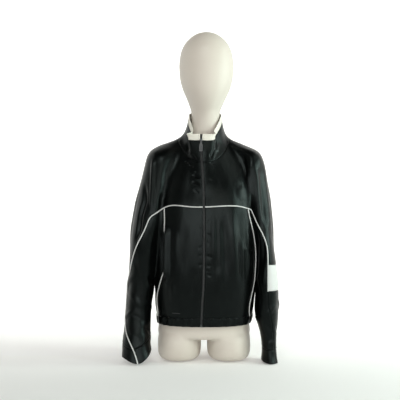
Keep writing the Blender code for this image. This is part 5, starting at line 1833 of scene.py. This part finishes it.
@dataclass
class HemBand:
    """Gathered elastic casing round the hem, open at the zip."""

    garment: Garment
    parts: int = 68  # stretches on each half
    wave_parts: int = 4  # stretches to a large gather
    wave: float = 0.0011
    finer: int = 8  # columns to a stretch
    rows: int = 12
    gather: float = 0.0068  # between fine gathers
    depth: float = 0.0007
    wander: float = 0.011  # length over which the fine gathers change their spacing
    drift: float = 2.4  # radians, at most, by which they move
    patch: float = 0.03  # and their depth
    patchy: float = 0.45  # share of the depth that changes
    fade: float = 1.5  # stretches over which they die out at the zip
    puff: float = 0.0013
    puff_foot: float = 1.02  # of the way down at which it ends
    puff_square: float = 0.6  # power of its section, where 1 is a sine
    puff_flat: float = 0.35  # share of the fine gathers' depth that the puff takes
    sunk: float = 0.0002
    thickness: float = 0.0010
    flat: tuple[float, float] = (0.93, 0.028)  # before it is gathered

    @staticmethod
    def point(side: str, share: float, z: float) -> Array:
        """Point of the hem at a share of the way from the front edge to the middle of the back."""
        section = section_at(side, z)
        return own(side, section.between(section.front_x(front_edge(side, z)), math.pi, share), z)

    def _gathered(self, grid: Array) -> Array:
        """The band's rows of points, moved out and in by its gathers.

        Args:
            grid: the smooth rows, from the top down.

        Returns:
            The gathered rows.
        """
        outward = unit(np.cross(np.gradient(grid, axis=1), (0.0, 0.0, 1.0)))
        at = np.arange(grid.shape[1]) / (self.finer / 2)
        edge = np.minimum(at, at[-1] - at)
        waves = np.cos(at * math.tau / self.wave_parts) * np.minimum(1, edge / self.wave_parts) * self.wave
        ends = np.minimum(1, edge / self.fade)
        lengths = run_lengths(grid[0])
        gathered = grid.copy()
        for row in range(self.rows + 1):
            down = row / self.rows
            swell = math.sin(math.pi * min(1.0, down * self.puff_foot)) ** self.puff_square
            drift = np.array([noise.noise(Vector((s / self.wander, down * 0.8, 2.0))) for s in lengths])
            patches = np.array([noise.noise(Vector((s / self.patch, 5.0, down))) for s in lengths])
            fine = np.cos(lengths / self.gather * math.tau + self.drift * drift) * self.depth
            fine = fine * (1 - self.patchy + self.patchy * patches)
            out = waves + fine * ends * (1 - self.puff_flat * swell) + self.puff * swell * ends - self.sunk
            gathered[row] += outward[row] * out[:, None]
        return gathered

    def build(self) -> list[bpy.types.Object]:
        """Make the band.

        Returns:
            The piece.
        """
        shares = np.linspace(0, 1, self.parts * self.finer // 2 + 1)
        rows = []
        for z in (mix(HEM_TOP, HEM_BOTTOM, row / self.rows) for row in range(self.rows + 1)):
            rows.append([self.point("left", share, z) for share in shares])
            rows[-1] += [self.point("right", share, z) for share in shares[-2::-1]]
        points = self._gathered(np.array(rows)).reshape(-1, 3)
        quads = grid_quads(len(rows), len(rows[0]))
        points, faces = shell(points, normals_of(points, quads), quads, self.thickness)
        piece = self.garment.frame.add("cloth_hem_band", points, faces, Slot.SATIN, "hem_band")
        return [piece]


def rounded(made: bmesh.types.BMesh, edges: list, bevel: float, segments: int = 2, clamp: bool = False) -> None:
    """Round off edges of a working mesh.

    Args:
        made: the working mesh.
        edges: the edges.
        bevel: how far from each edge the rounding starts.
        segments: how many faces go round it.
        clamp: whether roundings that would meet are kept apart.
    """
    bmesh.ops.bevel(
        made, geom=edges, offset=bevel, segments=segments, profile=0.5, affect="EDGES", clamp_overlap=clamp
    )


def finished(made: bmesh.types.BMesh) -> tuple[Array, list]:
    """Points and faces of a working mesh, which is then freed.

    Args:
        made: the working mesh.

    Returns:
        Its points and faces.
    """
    points = np.array([tuple(v.co) for v in made.verts])
    faces = [[v.index for v in f.verts] for f in made.faces]
    made.free()
    return points, faces


def block(size: tuple[float, float, float], bevel: float, segments: int = 2) -> tuple[Array, list]:
    """A box with rounded edges, about the origin.

    Args:
        size: its width, depth and height.
        bevel: how far from each edge the rounding starts.
        segments: how many faces go round it.

    Returns:
        Its points and faces.
    """
    made = bmesh.new()
    bmesh.ops.create_cube(made, size=1.0, matrix=Matrix.Diagonal((*size, 1.0)))
    rounded(made, made.edges[:], bevel, segments)
    return finished(made)


def repeated(points: Array, faces: list, places: list[Array], frames: list[Array]) -> tuple[Array, list]:
    """One small shape set at many places.

    Args:
        points: its points.
        faces: its faces.
        places: where each copy's origin goes.
        frames: each copy's three axes, as columns.

    Returns:
        The points and faces of them all.
    """
    all_points = np.concatenate([points @ axes.T + place for place, axes in zip(places, frames)])
    return all_points, [[corner + at * len(points) for corner in face] for at in range(len(places)) for face in faces]


@dataclass(frozen=True)
class Row:
    """One row of stitches: the run that it follows, how far off it, and its thread."""

    run: str
    offset: float  # metres to the run's left as seen from outside, or to its right below 0
    thread: Slot = Slot.SATIN


@dataclass
class Stitching:
    """Rows of single raised stitches beside the seams and edges, laid on the creased cloth."""

    garment: Garment
    every: float = 0.0034
    length: float = 0.0024
    width: float = 0.00055
    sunk: float = 0.0001
    blunt: float = 0.6  # share of its length that is full size
    tip_drop: float = 0.6  # of half its width, by which its ends lie lower
    rounds: int = 2  # how often a row is evened out

    def rows(self) -> list[Row]:
        """Every row, by where the cloth is topstitched.

        Returns:
            The rows.
        """
        rows = []
        for side, sign in SIDES.items():
            rows += [
                Row("front_edge_" + side, sign * 0.0048),
                Row("collar_seam_" + side, -sign * 0.0026),
                Row("collar_seam_" + side, sign * 0.0022),
                Row("binding_seam_" + side, sign * 0.0016, Slot.IVORY),
                Row("back_seam_" + side, -sign * 0.0028),
                Row("sleeve_seam_" + side, sign * 0.0028),
                Row("cuff_seam_" + side, sign * 0.0030),
                Row("cuff_seam_" + side, sign * 0.0055),
                Row("cuff_rim_" + side, sign * 0.0060),
                Row("hem_seam_" + side, sign * 0.0030),
            ]
        return rows + [Row("block_top", -0.0018, Slot.WHITE), Row("block_foot", 0.0018, Slot.WHITE)]

    def build(self) -> list[bpy.types.Object]:
        """Make the stitches, one piece for each colour of thread.

        Returns:
            The pieces.
        """
        garment = self.garment
        grouped = {}
        for row in self.rows():
            centres, outs = garment.along(row.run, self.every, self.rounds)
            along = unit(np.gradient(centres, axis=0))
            across = unit(np.cross(outs, along))
            places, frames = grouped.setdefault(row.thread, ([], []))
            for centre, way, side in zip(centres[1:-1], along[1:-1], across[1:-1]):
                found, out, _, _ = garment.tree.find_nearest(Vector(centre + side * row.offset))
                out = np.array(out)
                way = unit(way - out * (way @ out))
                places.append(np.array(found) + out * (self.width / 2 - self.sunk))
                frames.append(np.column_stack([way, out, np.cross(way, out)]))
        return [
            garment.frame.add("stitches_" + thread.name.lower(), *repeated(*self._stitch(), *placed), thread)
            for thread, placed in grouped.items()
        ]

    def _stitch(self) -> tuple[Array, list]:
        """One stitch: a short bar with pointed ends, six-sided.

        Returns:
            Its points and faces.
        """
        half = self.width / 2
        points = [(x, -half * self.tip_drop, 0.0) for x in (-self.length / 2, self.length / 2)]
        turns = [step * math.tau / 6 for step in range(6)]
        for x in (-self.length * self.blunt / 2, self.length * self.blunt / 2):
            points += [(x, half * math.sin(turn), half * math.cos(turn)) for turn in turns]
        faces = [[2 + step, 2 + (step + 1) % 6, 8 + (step + 1) % 6, 8 + step] for step in range(6)]
        faces += [[0, 2 + (step + 1) % 6, 2 + step] for step in range(6)]
        faces += [[1, 8 + step, 8 + (step + 1) % 6] for step in range(6)]
        return np.array(points), faces


@dataclass
class HemBar:
    """Small sewn bar low on the wearer's right front, plain."""

    garment: Garment
    ends: tuple[tuple[float, float], ...] = ((-0.0965, 0.1525), (-0.0735, 0.1525))
    width: float = 0.0026
    height: float = 0.0010
    lift: float = 0.3  # share of its height
    spacing: float = 0.0015
    start_y: float = -0.4  # in front of all the cloth

    def build(self) -> list[bpy.types.Object]:
        """Make the bar.

        Returns:
            The piece.
        """
        centres, outs = [], []
        for x, z in even_path(np.array(self.ends), self.spacing):
            found, out, _, _ = self.garment.tree.ray_cast(Vector((x, self.start_y, z)), Vector((0.0, 1.0, 0.0)))
            centres.append(np.array(found) + np.array(out) * self.height * self.lift)
            outs.append(np.array(out))
        points, faces = tube(np.array(centres), np.array(outs), self.width / 2, self.height / 2)
        return [self.garment.frame.add("hem_bar", points, faces, Slot.TAPE)]


@dataclass
class ZipLine:
    """The middle of the closed zip, from the collar's top to the hem's foot."""

    garment: Garment
    reach: float = 0.004  # above and below a place, over which its direction is taken

    def __post_init__(self) -> None:
        """Average both front edges and carry them down over the hem band."""
        self.edges = {side: self._column("front_edge_", side, 0) for side in SIDES}
        self.inner = {side: self._column("front_inner_", side, 1) for side in SIDES}
        self.middle = (self.edges["left"][0] + self.edges["right"][0]) / 2
        self.outs = unit(self.edges["left"][1] + self.edges["right"][1])

    def _column(self, name: str, side: str, column: int) -> tuple[Array, Array]:
        """One column of the net, down to the hem's foot.

        Args:
            name: the start of its run's name.
            side: its side.
            column: its number.

        Returns:
            Its points and normals.
        """
        run = self.garment.made.runs[name + side]
        points, normals = self.garment.made.points[run], self.garment.normals[run]
        foot = own(side, JacketNet.body_point(side, column, HEM_BOTTOM), HEM_BOTTOM)
        return np.vstack([points, foot]), np.vstack([normals, normals[-1]])

    def _read(self, rows: Array, z: float) -> Array:
        """Row of an array along the zip, at a height."""
        return np.array([np.interp(z, self.middle[::-1, 2], rows[::-1, i]) for i in range(3)])

    def at(self, z: float) -> tuple[Array, Array, Array]:
        """Place on the zip's middle at a height.

        Args:
            z: the height.

        Returns:
            The point, the outward normal and the downward direction.
        """
        out = unit(self._read(self.outs, z))
        down = unit(self._read(self.middle, z - self.reach) - self._read(self.middle, z + self.reach))
        return self._read(self.middle, z), unit(out - down * (out @ down)), down


@dataclass
class Zip:
    """Closed zip: tapes behind the fronts, the coil's teeth, and the box at its foot."""

    line: ZipLine
    tape_width: float = 0.011
    tape_thickness: float = 0.0008
    tape_length: float = 0.60
    tape_gap: float = 0.0004  # from the zip's middle
    most_share: float = 0.9  # of the way to the net's next column, for the tape's sewn edge
    sunk: float = 0.0017  # of the tape behind the fronts
    sunk_turn: float = 1.02  # share of it under the front's edge
    sunk_under: float = 1.12  # share of it at the sewn edge
    teeth_steps: tuple[float, ...] = (0.0, 0.35, 0.7)  # of the way from the teeth to the front's edge
    under_steps: tuple[float, ...] = (0.0, 0.33, 0.66, 1.0)  # and from there to the sewn edge
    tooth: tuple[float, float, float] = (0.0031, 0.0014, 0.00105)
    tooth_bevel: float = 0.0004
    tooth_aside: float = 0.0010
    tooth_sunk: float = 0.0003
    pitch: float = 0.0016
    short: float = 0.004  # the chain's top below the collar's
    box: tuple[float, float, float] = (0.0060, 0.0024, 0.0088)
    box_bevel: float = 0.0007
    box_sunk: float = 0.0001
    box_lift: float = 0.0003  # above the hem's foot
    box_gap: float = 0.0008  # from it to the last tooth

    def build(self) -> list[bpy.types.Object]:
        """Make the tapes, the chain and the box.

        Returns:
            The pieces.
        """
        return [self._tape(side) for side in SIDES] + [self._chain(), self._box()]

    def _tape(self, side: str) -> bpy.types.Object:
        """One woven tape, from under the teeth to behind the front.

        Args:
            side: its side.

        Returns:
            The piece.
        """
        line, sign = self.line, SIDES[side]
        edge, edge_out = line.edges[side]
        inner, inner_out = line.inner[side]
        reach = np.linalg.norm(inner - edge, axis=1)[:, None]
        share = np.minimum(self.most_share, (self.tape_width - FRONT_OPENING) / reach)
        start = line.middle + np.array([sign * self.tape_gap, 0, 0]) - line.outs * self.sunk
        turn = edge - edge_out * self.sunk * self.sunk_turn
        under = mix(edge, inner, share) - unit(mix(edge_out, inner_out, share)) * self.sunk * self.sunk_under
        rows = [mix(start, turn, t) for t in self.teeth_steps] + [mix(turn, under, t) for t in self.under_steps]
        points = np.stack(rows, axis=1).reshape(-1, 3)
        quads = grid_quads(len(start), len(rows))
        if sign < 0:
            quads = quads[:, ::-1]
        points, faces = shell(points, normals_of(points, quads), quads, self.tape_thickness)
        piece = line.garment.frame.add("woven_zip_tape_" + side, points, faces, Slot.TAPE, "zip_tape_" + side)
        return piece

    def _chain(self) -> bpy.types.Object:
        """Teeth that mesh from both sides, down the whole closed zip.

        Returns:
            The piece.
        """
        z = self.line.middle[0, 2] - self.short
        foot = HEM_BOTTOM + self.box[2] + self.box_gap
        places, frames = [], []
        aside = self.tooth_aside
        while z > foot:
            place, out, down = self.line.at(z)
            across = np.cross(out, down)
            places.append(place + across * aside - out * self.tooth_sunk)
            frames.append(np.column_stack([across, out, down]))
            z -= self.pitch / 2 * abs(down[2])
            aside = -aside
        points, faces = repeated(*block(self.tooth, self.tooth_bevel), places, frames)
        return self.line.garment.frame.add("zip_teeth", points, faces, Slot.COIL, "zip_chain", soft=False)

    def _box(self) -> bpy.types.Object:
        """Retaining box at the foot of the zip.

        Returns:
            The piece.
        """
        place, out, down = self.line.at(HEM_BOTTOM + self.box[2] / 2 + self.box_lift)
        axes = np.column_stack([np.cross(out, down), out, down])
        points, faces = repeated(*block(self.box, self.box_bevel, 3), [place - out * self.box_sunk], [axes])
        return self.line.garment.frame.add("zip_retaining_box", points, faces, Slot.METAL, "zip_box")


@dataclass
class Slider:
    """Zip slider with its arch, and the ridged pull tab that hangs from it."""

    line: ZipLine
    z: float = 0.6785
    above: float = 0.010  # stretch of the zip that it lies along, from that height up and down
    below: float = 0.030
    width: float = 0.0084
    height: float = 0.0125
    plate: float = 0.0024
    plate_bevel: float = 0.0009
    waist: float = 0.22  # share of its width that it loses towards its foot
    waist_top: float = 0.002
    waist_length: float = 0.008
    clear: float = 0.0005  # from the zip's front to the plate
    arch_low: float = -0.0030  # the arch's foot, from the slider's middle
    arch_bar: float = 0.0013  # its bar's thickness
    arch_open: float = 0.0025  # from the plate to its underside
    arch_reach: float = 0.0032  # between its feet
    arch_width: float = 0.0030
    arch_sunk: float = 0.0006  # of its feet in the plate
    arch_turn: float = 0.0008
    arch_cut: float = 0.3  # share of that turn by which its corner is cut
    arch_spacing: float = 0.0004
    tab_thickness: float = 0.0017
    tab_bevel: float = 0.00035
    tab_top: float = 0.0068  # widths of the tab beside its slot and below it
    tab_low: float = 0.0105
    tab_leg: float = 0.0012  # width of each leg beside the slot
    tab_slot: float = 0.0065
    tab_bridge: float = 0.003  # from the slot's foot to the shoulder
    tab_shoulder: float = 0.004  # height over which it widens
    tab_round: float = 0.0035  # height of its rounded foot
    tab_square: float = 0.7  # power of that round, where 1 is an ellipse
    tab_turns: int = 12
    tab_length: float = 0.034
    pin_inset: float = 0.0004
    ridges: int = 7
    ridge_start: float = 0.0075  # below the shoulder
    ridge_pitch: float = 0.0021
    ridge_inset: float = 0.0026
    ridge_depth: float = 0.0007
    ridge_height: float = 0.0011
    ridge_bevel: float = 0.0003
    ridge_sunk: float = 0.00005

    def __post_init__(self) -> None:
        """Place the slider's frame from the tab's hinge, which the record gives."""
        joint = frame["record"]["behaviour"]["joints"][0]
        across = unit(np.array(joint["axis"], float)) * -1.0
        self.pivot = np.array(joint["pos_m"], float) - self.line.garment.frame.move
        above, _, _ = self.line.at(self.z + self.above)
        below, _, _ = self.line.at(self.z - self.below)
        up = unit(above - below)
        up = unit(up - across * (up @ across))
        out = np.cross(across, up)
        out *= -np.sign(out[1])
        self.axes = np.column_stack([across, -out, up])
        middle = (2 * self.arch_low + 2 * self.arch_bar + self.arch_reach) / 2
        top = -self.clear - self.plate
        self.origin = self.pivot - self.axes @ np.array([0.0, top - self.arch_open / 2, middle])

    def build(self) -> list[bpy.types.Object]:
        """Make the slider and the tab.

        Returns:
            The two pieces.
        """
        return [self._slider(), self._tab()]

    def _slider(self) -> bpy.types.Object:
        """Tapered plate with rounded edges, and the arch standing on it.

        Returns:
            The piece.
        """
        top = -self.clear - self.plate
        placed, faces = block((self.width, self.plate, self.height), self.plate_bevel, 3)
        placed[:, 0] *= 1 - self.waist * eased((self.waist_top - placed[:, 2]) / self.waist_length)
        placed[:, 1] += (top - self.clear) / 2
        foot, head = self.arch_low + self.arch_bar / 2, self.arch_low + 1.5 * self.arch_bar + self.arch_reach
        rise = top - self.arch_open - self.arch_bar / 2
        turn, sunk = self.arch_turn, top + self.arch_sunk
        cut = self.arch_cut * turn
        path = [(0, sunk, foot), (0, rise + turn, foot), (0, rise + cut, foot + cut)]
        path += [(0, rise, foot + turn), (0, rise, (foot + head) / 2), (0, rise, head - turn)]
        path += [(0, rise + cut, head - cut), (0, rise + turn, head), (0, sunk, head)]
        path = even_path(np.array(path, float), self.arch_spacing)
        bar, bar_faces = tube(path, np.tile([1.0, 0.0, 0.0], (len(path), 1)), self.arch_bar / 2, self.arch_width / 2)
        faces += [[corner + len(placed) for corner in face] for face in bar_faces]
        points = np.concatenate([placed, bar]) @ self.axes.T + self.origin
        return self.line.garment.frame.add("slider_body", points, faces, Slot.METAL, "zip_slider")

    def _tab_outline(self) -> list[tuple[float, float]]:
        """The tab's outline and its slot's, as (x, z) from the hinge.

        Returns:
            Its corners in order.
        """
        inside, shoulder = self.tab_top / 2 - self.tab_leg, -self.tab_slot - self.tab_bridge
        outline = [
            (self.tab_top / 2, 0.0),
            (self.tab_top / 2, shoulder),
            (self.tab_low / 2, shoulder - self.tab_shoulder),
        ]
        for step in range(self.tab_turns + 1):
            angle = -step * math.pi / self.tab_turns
            x = self.tab_low / 2 * powered(math.cos(angle), self.tab_square)
            outline.append((x, self.tab_round - self.tab_length + self.tab_round * math.sin(angle)))
        outline += [(-x, z) for x, z in outline[2::-1]]
        return outline + [(-inside, 0.0), (-inside, -self.tab_slot), (inside, -self.tab_slot), (inside, 0.0)]

    def _tab(self) -> bpy.types.Object:
        """Flat tab with an open slot, a crossbar and a ridged grip.

        Returns:
            The piece.
        """
        made, half = bmesh.new(), self.tab_thickness / 2
        back = made.faces.new([made.verts.new((x, half, z)) for x, z in self._tab_outline()])
        top = bmesh.ops.extrude_face_region(made, geom=[back])["geom"]
        moved = [part for part in top if isinstance(part, bmesh.types.BMVert)]
        bmesh.ops.translate(made, vec=(0, -self.tab_thickness, 0), verts=moved)
        bmesh.ops.recalc_face_normals(made, faces=made.faces[:])
        rounded(made, made.edges[:], self.tab_bevel, clamp=True)
        bmesh.ops.create_cone(
            made,
            cap_ends=True,
            segments=16,
            radius1=half,
            radius2=half,
            depth=self.tab_top - self.pin_inset,
            matrix=Matrix.Rotation(math.pi / 2, 4, "Y"),
        )
        size = Matrix.Diagonal((self.tab_low - self.ridge_inset, self.ridge_depth, self.ridge_height, 1))
        for at in range(self.ridges):
            z = -self.tab_slot - self.tab_bridge - self.ridge_start - at * self.ridge_pitch
            where = Matrix.Translation((0, -half + self.ridge_sunk, z))
            ridge = bmesh.ops.create_cube(made, size=1.0, matrix=where @ size)
            edges = list({edge for vert in ridge["verts"] for edge in vert.link_edges})
            rounded(made, edges, self.ridge_bevel)
        points, faces = finished(made)
        points = points @ self.axes.T + self.pivot
        add = self.line.garment.frame.add
        return add("ridged_pull_tab", points, faces, Slot.METAL, "pull_tab", "tab", False)


@dataclass
class DisplayForm:
    """Smooth armless torso with a faceless egg head and two short stubs."""

    frame: Frame
    sides: int = 96
    spacing: float = 0.006
    voxel: float = 0.005
    softening: float = 0.5
    soften_rounds: int = 4

    def _rings(self, table: Table, sign: float) -> tuple[list, list]:
        """Closed solid through level rings.

        Args:
            table: the rings' sizes, by height.
            sign: 1, or -1 to mirror it.

        Returns:
            Its points and faces.
        """
        low, high = table.keys[0], table.keys[-1]
        heights = sorted({*table.keys, *np.linspace(low, high, max(4, round((high - low) / self.spacing)))})
        points = []
        for z in heights:
            x, half, front, back, power = (table.read(name, z) for name in ("x", "half", "front", "back", "power"))
            for step in range(self.sides):
                angle = step * math.tau / self.sides
                s, c = powered(math.sin(angle), 2 / power), powered(math.cos(angle), 2 / power)
                points.append((sign * x + half * s, -(front if c > 0 else back) * c, z))
        ring = list(range(self.sides))
        faces = grid_quads(len(heights), self.sides, True)[:, [0, 3, 2, 1]].tolist()
        return points, faces + [ring[::-1], [corner + len(points) - self.sides for corner in ring]]

    def build(self) -> list[bpy.types.Object]:
        """Make the form as one smooth shell.

        Returns:
            The piece.
        """
        points, faces = self._rings(TORSO, 1.0)
        for sign in SIDES.values():
            more, more_faces = self._rings(STUB, sign)
            faces += [[corner + len(points) for corner in face] for face in more_faces]
            points += more
        piece = self.frame.add("display_form", points, faces, Slot.FORM, "display_torso")
        remesh = piece.modifiers.new("one_shell", "REMESH")
        remesh.mode, remesh.voxel_size, remesh.use_smooth_shade = "VOXEL", self.voxel, True
        soften = piece.modifiers.new("soften", "SMOOTH")
        soften.factor, soften.iterations = self.softening, self.soften_rounds
        for modifier in ("one_shell", "soften"):
            with bpy.context.temp_override(object=piece):
                bpy.ops.object.modifier_apply(modifier=modifier)
        return [piece]


@dataclass(frozen=True)
class Softbox:
    """One soft light: where it hangs, what it faces, its size, power and colour."""

    name: str
    place: tuple[float, float, float]
    target: tuple[float, float, float]
    size: tuple[float, float]
    power: float
    colour: tuple[float, float, float] = (1.0, 1.0, 1.0)

    def hang(self) -> None:
        """Add the light."""
        light = bpy.data.lights.new(self.name, "AREA")
        light.shape = "RECTANGLE"
        light.size, light.size_y = self.size
        light.energy = self.power
        light.color = self.colour
        made = linked(self.name, light)
        made.location = self.place
        made.rotation_euler = (Vector(self.target) - Vector(self.place)).to_track_quat("-Z", "Y").to_euler()


@dataclass
class Sweep:
    """Pale floor that curves up into a backdrop all round. Its colour is darkened towards the camera as painted shade,
    and it glows towards the back as painted light, though it is no lamp.
    """

    colour: tuple[float, float, float] = (0.80, 0.80, 0.79)
    painted_shade_colour: tuple[float, float, float] = (0.30, 0.30, 0.295)
    near: tuple[float, float] = (-1.1, -0.4)  # y from the painted shade near the camera to the pale colour
    glow: float = 0.64
    glow_colour: tuple[float, float, float] = (1.0, 0.99, 0.965)
    glowing: tuple[float, float] = (-0.55, 1.0)  # y from no painted glow to all of it
    inner: float = 1.2
    radius: float = 2.6  # of the flat floor
    rise: float = 1.4  # radius of the curve up
    first_turn: float = 0.15  # of that curve, in radians
    turns: int = 10
    height: float = 5.0
    sides: int = 64

    @staticmethod
    def _fade(shader: Shader, way: bpy.types.NodeSocket, span: tuple[float, float], top: float) -> bpy.types.NodeSocket:
        """A number that rises smoothly from 0.

        Args:
            shader: the finish that it is part of.
            way: what it follows.
            span: where it starts to rise and where it ends.
            top: its value from there on.

        Returns:
            Its socket.
        """
        inputs = {"Value": way, "From Min": span[0], "From Max": span[1], "To Min": 0.0, "To Max": top}
        return shader.node("MapRange", inputs, interpolation_type="SMOOTHSTEP").outputs[0]

    def _material(self) -> bpy.types.Material:
        """The sweep's finish.

        Returns:
            The material.
        """
        shader = Shader("pale_floor", self.colour, 0.9, Specular_IOR_Level=0.1)
        shader.rough(shader.noise(3, 3), 0.86, 0.94)
        shader.relief((shader.noise(160, 3), 0.0001))
        along = shader.node("SeparateXYZ", {"Vector": shader.place}).outputs["Y"]
        # painted shade: the floor's colour darkens towards the camera, so the satin's low folds reflect dark
        shader.tint(self._fade(shader, along, self.near, 1.0), self.painted_shade_colour, self.colour)
        # painted light: the floor glows more towards the back, though it is no lamp
        shader.base.inputs["Emission Color"].default_value = (*self.glow_colour, 1.0)
        glow = self._fade(shader, along, self.glowing, self.glow)
        shader.tree.links.new(glow, shader.base.inputs["Emission Strength"])
        return shader.material

    def build(self) -> None:
        """Lay it out."""
        rows = [(0.0, 0.0), (self.inner, 0.0), (self.radius, 0.0)]
        for turn in np.linspace(self.first_turn, math.pi / 2, self.turns):
            rows.append((self.radius + self.rise * math.sin(turn), self.rise * (1 - math.cos(turn))))
        rows.append((self.radius + self.rise, self.height))
        angles = [step * math.tau / self.sides for step in range(self.sides)]
        points = [(r * math.cos(angle), r * math.sin(angle), z - SWEEP_DROP) for r, z in rows for angle in angles]
        faces = grid_quads(len(rows), self.sides, True)[:, [0, 3, 2, 1]].tolist()
        mesh_object("pale_floor", points, faces, self._material())


@dataclass
class Studio:
    """Sweep, soft lights and the camera."""

    camera_place: tuple[float, float, float] = (0.0011, -2.1895, 0.503)
    lens: float = 61.9
    sensor: float = 36.0
    world: tuple[float, float, float] = (1.0, 1.0, 0.98)
    world_strength: float = 0.02
    softboxes: tuple[Softbox, ...] = (
        Softbox("front_softbox", (0.0, -2.9, 0.56), (0.0, 0.0, 0.56), (4.2, 0.44), 41.0, (1.0, 0.98, 0.97)),
        Softbox("brow_softbox", (-0.2, -1.9, 2.3), (0.0, 0.0, 0.58), (1.3, 0.45), 18.0, (1.0, 1.0, 0.97)),
        Softbox("high_softbox", (0.8, -2.9, 1.6), (0.0, 0.0, 0.5), (2.4, 0.55), 11.0, (1.0, 0.98, 0.90)),
        Softbox("side_softbox", (2.15, -1.1, 1.0), (0.0, 0.0, 0.6), (0.6, 1.1), 19.0, (0.83, 1.0, 0.93)),
        Softbox("right_softbox", (2.39, -0.21, 1.1), (0.0, 0.0, 0.6), (0.5, 1.5), 27.0, (0.84, 1.0, 0.93)),
        Softbox("left_softbox", (-2.2, 0.82, 0.8), (0.0, 0.0, 0.5), (0.6, 0.5), 1.0),
        Softbox("top_softbox", (1.4, -0.4, 2.3), (0.0, 0.0, 0.5), (0.9, 0.9), 4.0, (0.95, 1.0, 0.93)),
    )

    def build(self) -> None:
        """Set up the floor, the lights and the camera."""
        Sweep().build()
        for softbox in self.softboxes:
            softbox.hang()
        scene = bpy.context.scene
        scene.world = bpy.data.worlds.new("studio")
        scene.world.use_nodes = True
        sky = scene.world.node_tree.nodes["Background"].inputs
        sky["Color"].default_value = (*self.world, 1.0)
        sky["Strength"].default_value = self.world_strength
        camera = bpy.data.cameras.new("camera")
        camera.lens, camera.sensor_width = self.lens, self.sensor
        camera.dof.use_dof = False
        scene.camera = linked("camera", camera)
        scene.camera.location = self.camera_place
        scene.camera.rotation_euler = (math.pi / 2, 0.0, 0.0)
        scene.view_settings.view_transform = "Standard"


def report(pieces: list[bpy.types.Object]) -> None:
    """Log each piece with its number of faces."""
    for piece in pieces:
        LOG.info("%s: %d faces", piece.name, len(piece.data.polygons))


def main() -> None:
    """Build the jacket, its zip, the form under it and the studio."""
    logging.basicConfig(level=logging.INFO, format="%(message)s")
    place = Frame(mixed())
    report(DisplayForm(place).build())
    garment = Garment(place)
    for part in (garment, Piping(garment), HemBand(garment), Stitching(garment), HemBar(garment)):
        report(part.build())
    line = ZipLine(garment)
    for part in (Zip(line), Slider(line)):
        report(part.build())
    Studio().build()


if __name__ == "__main__":
    main()
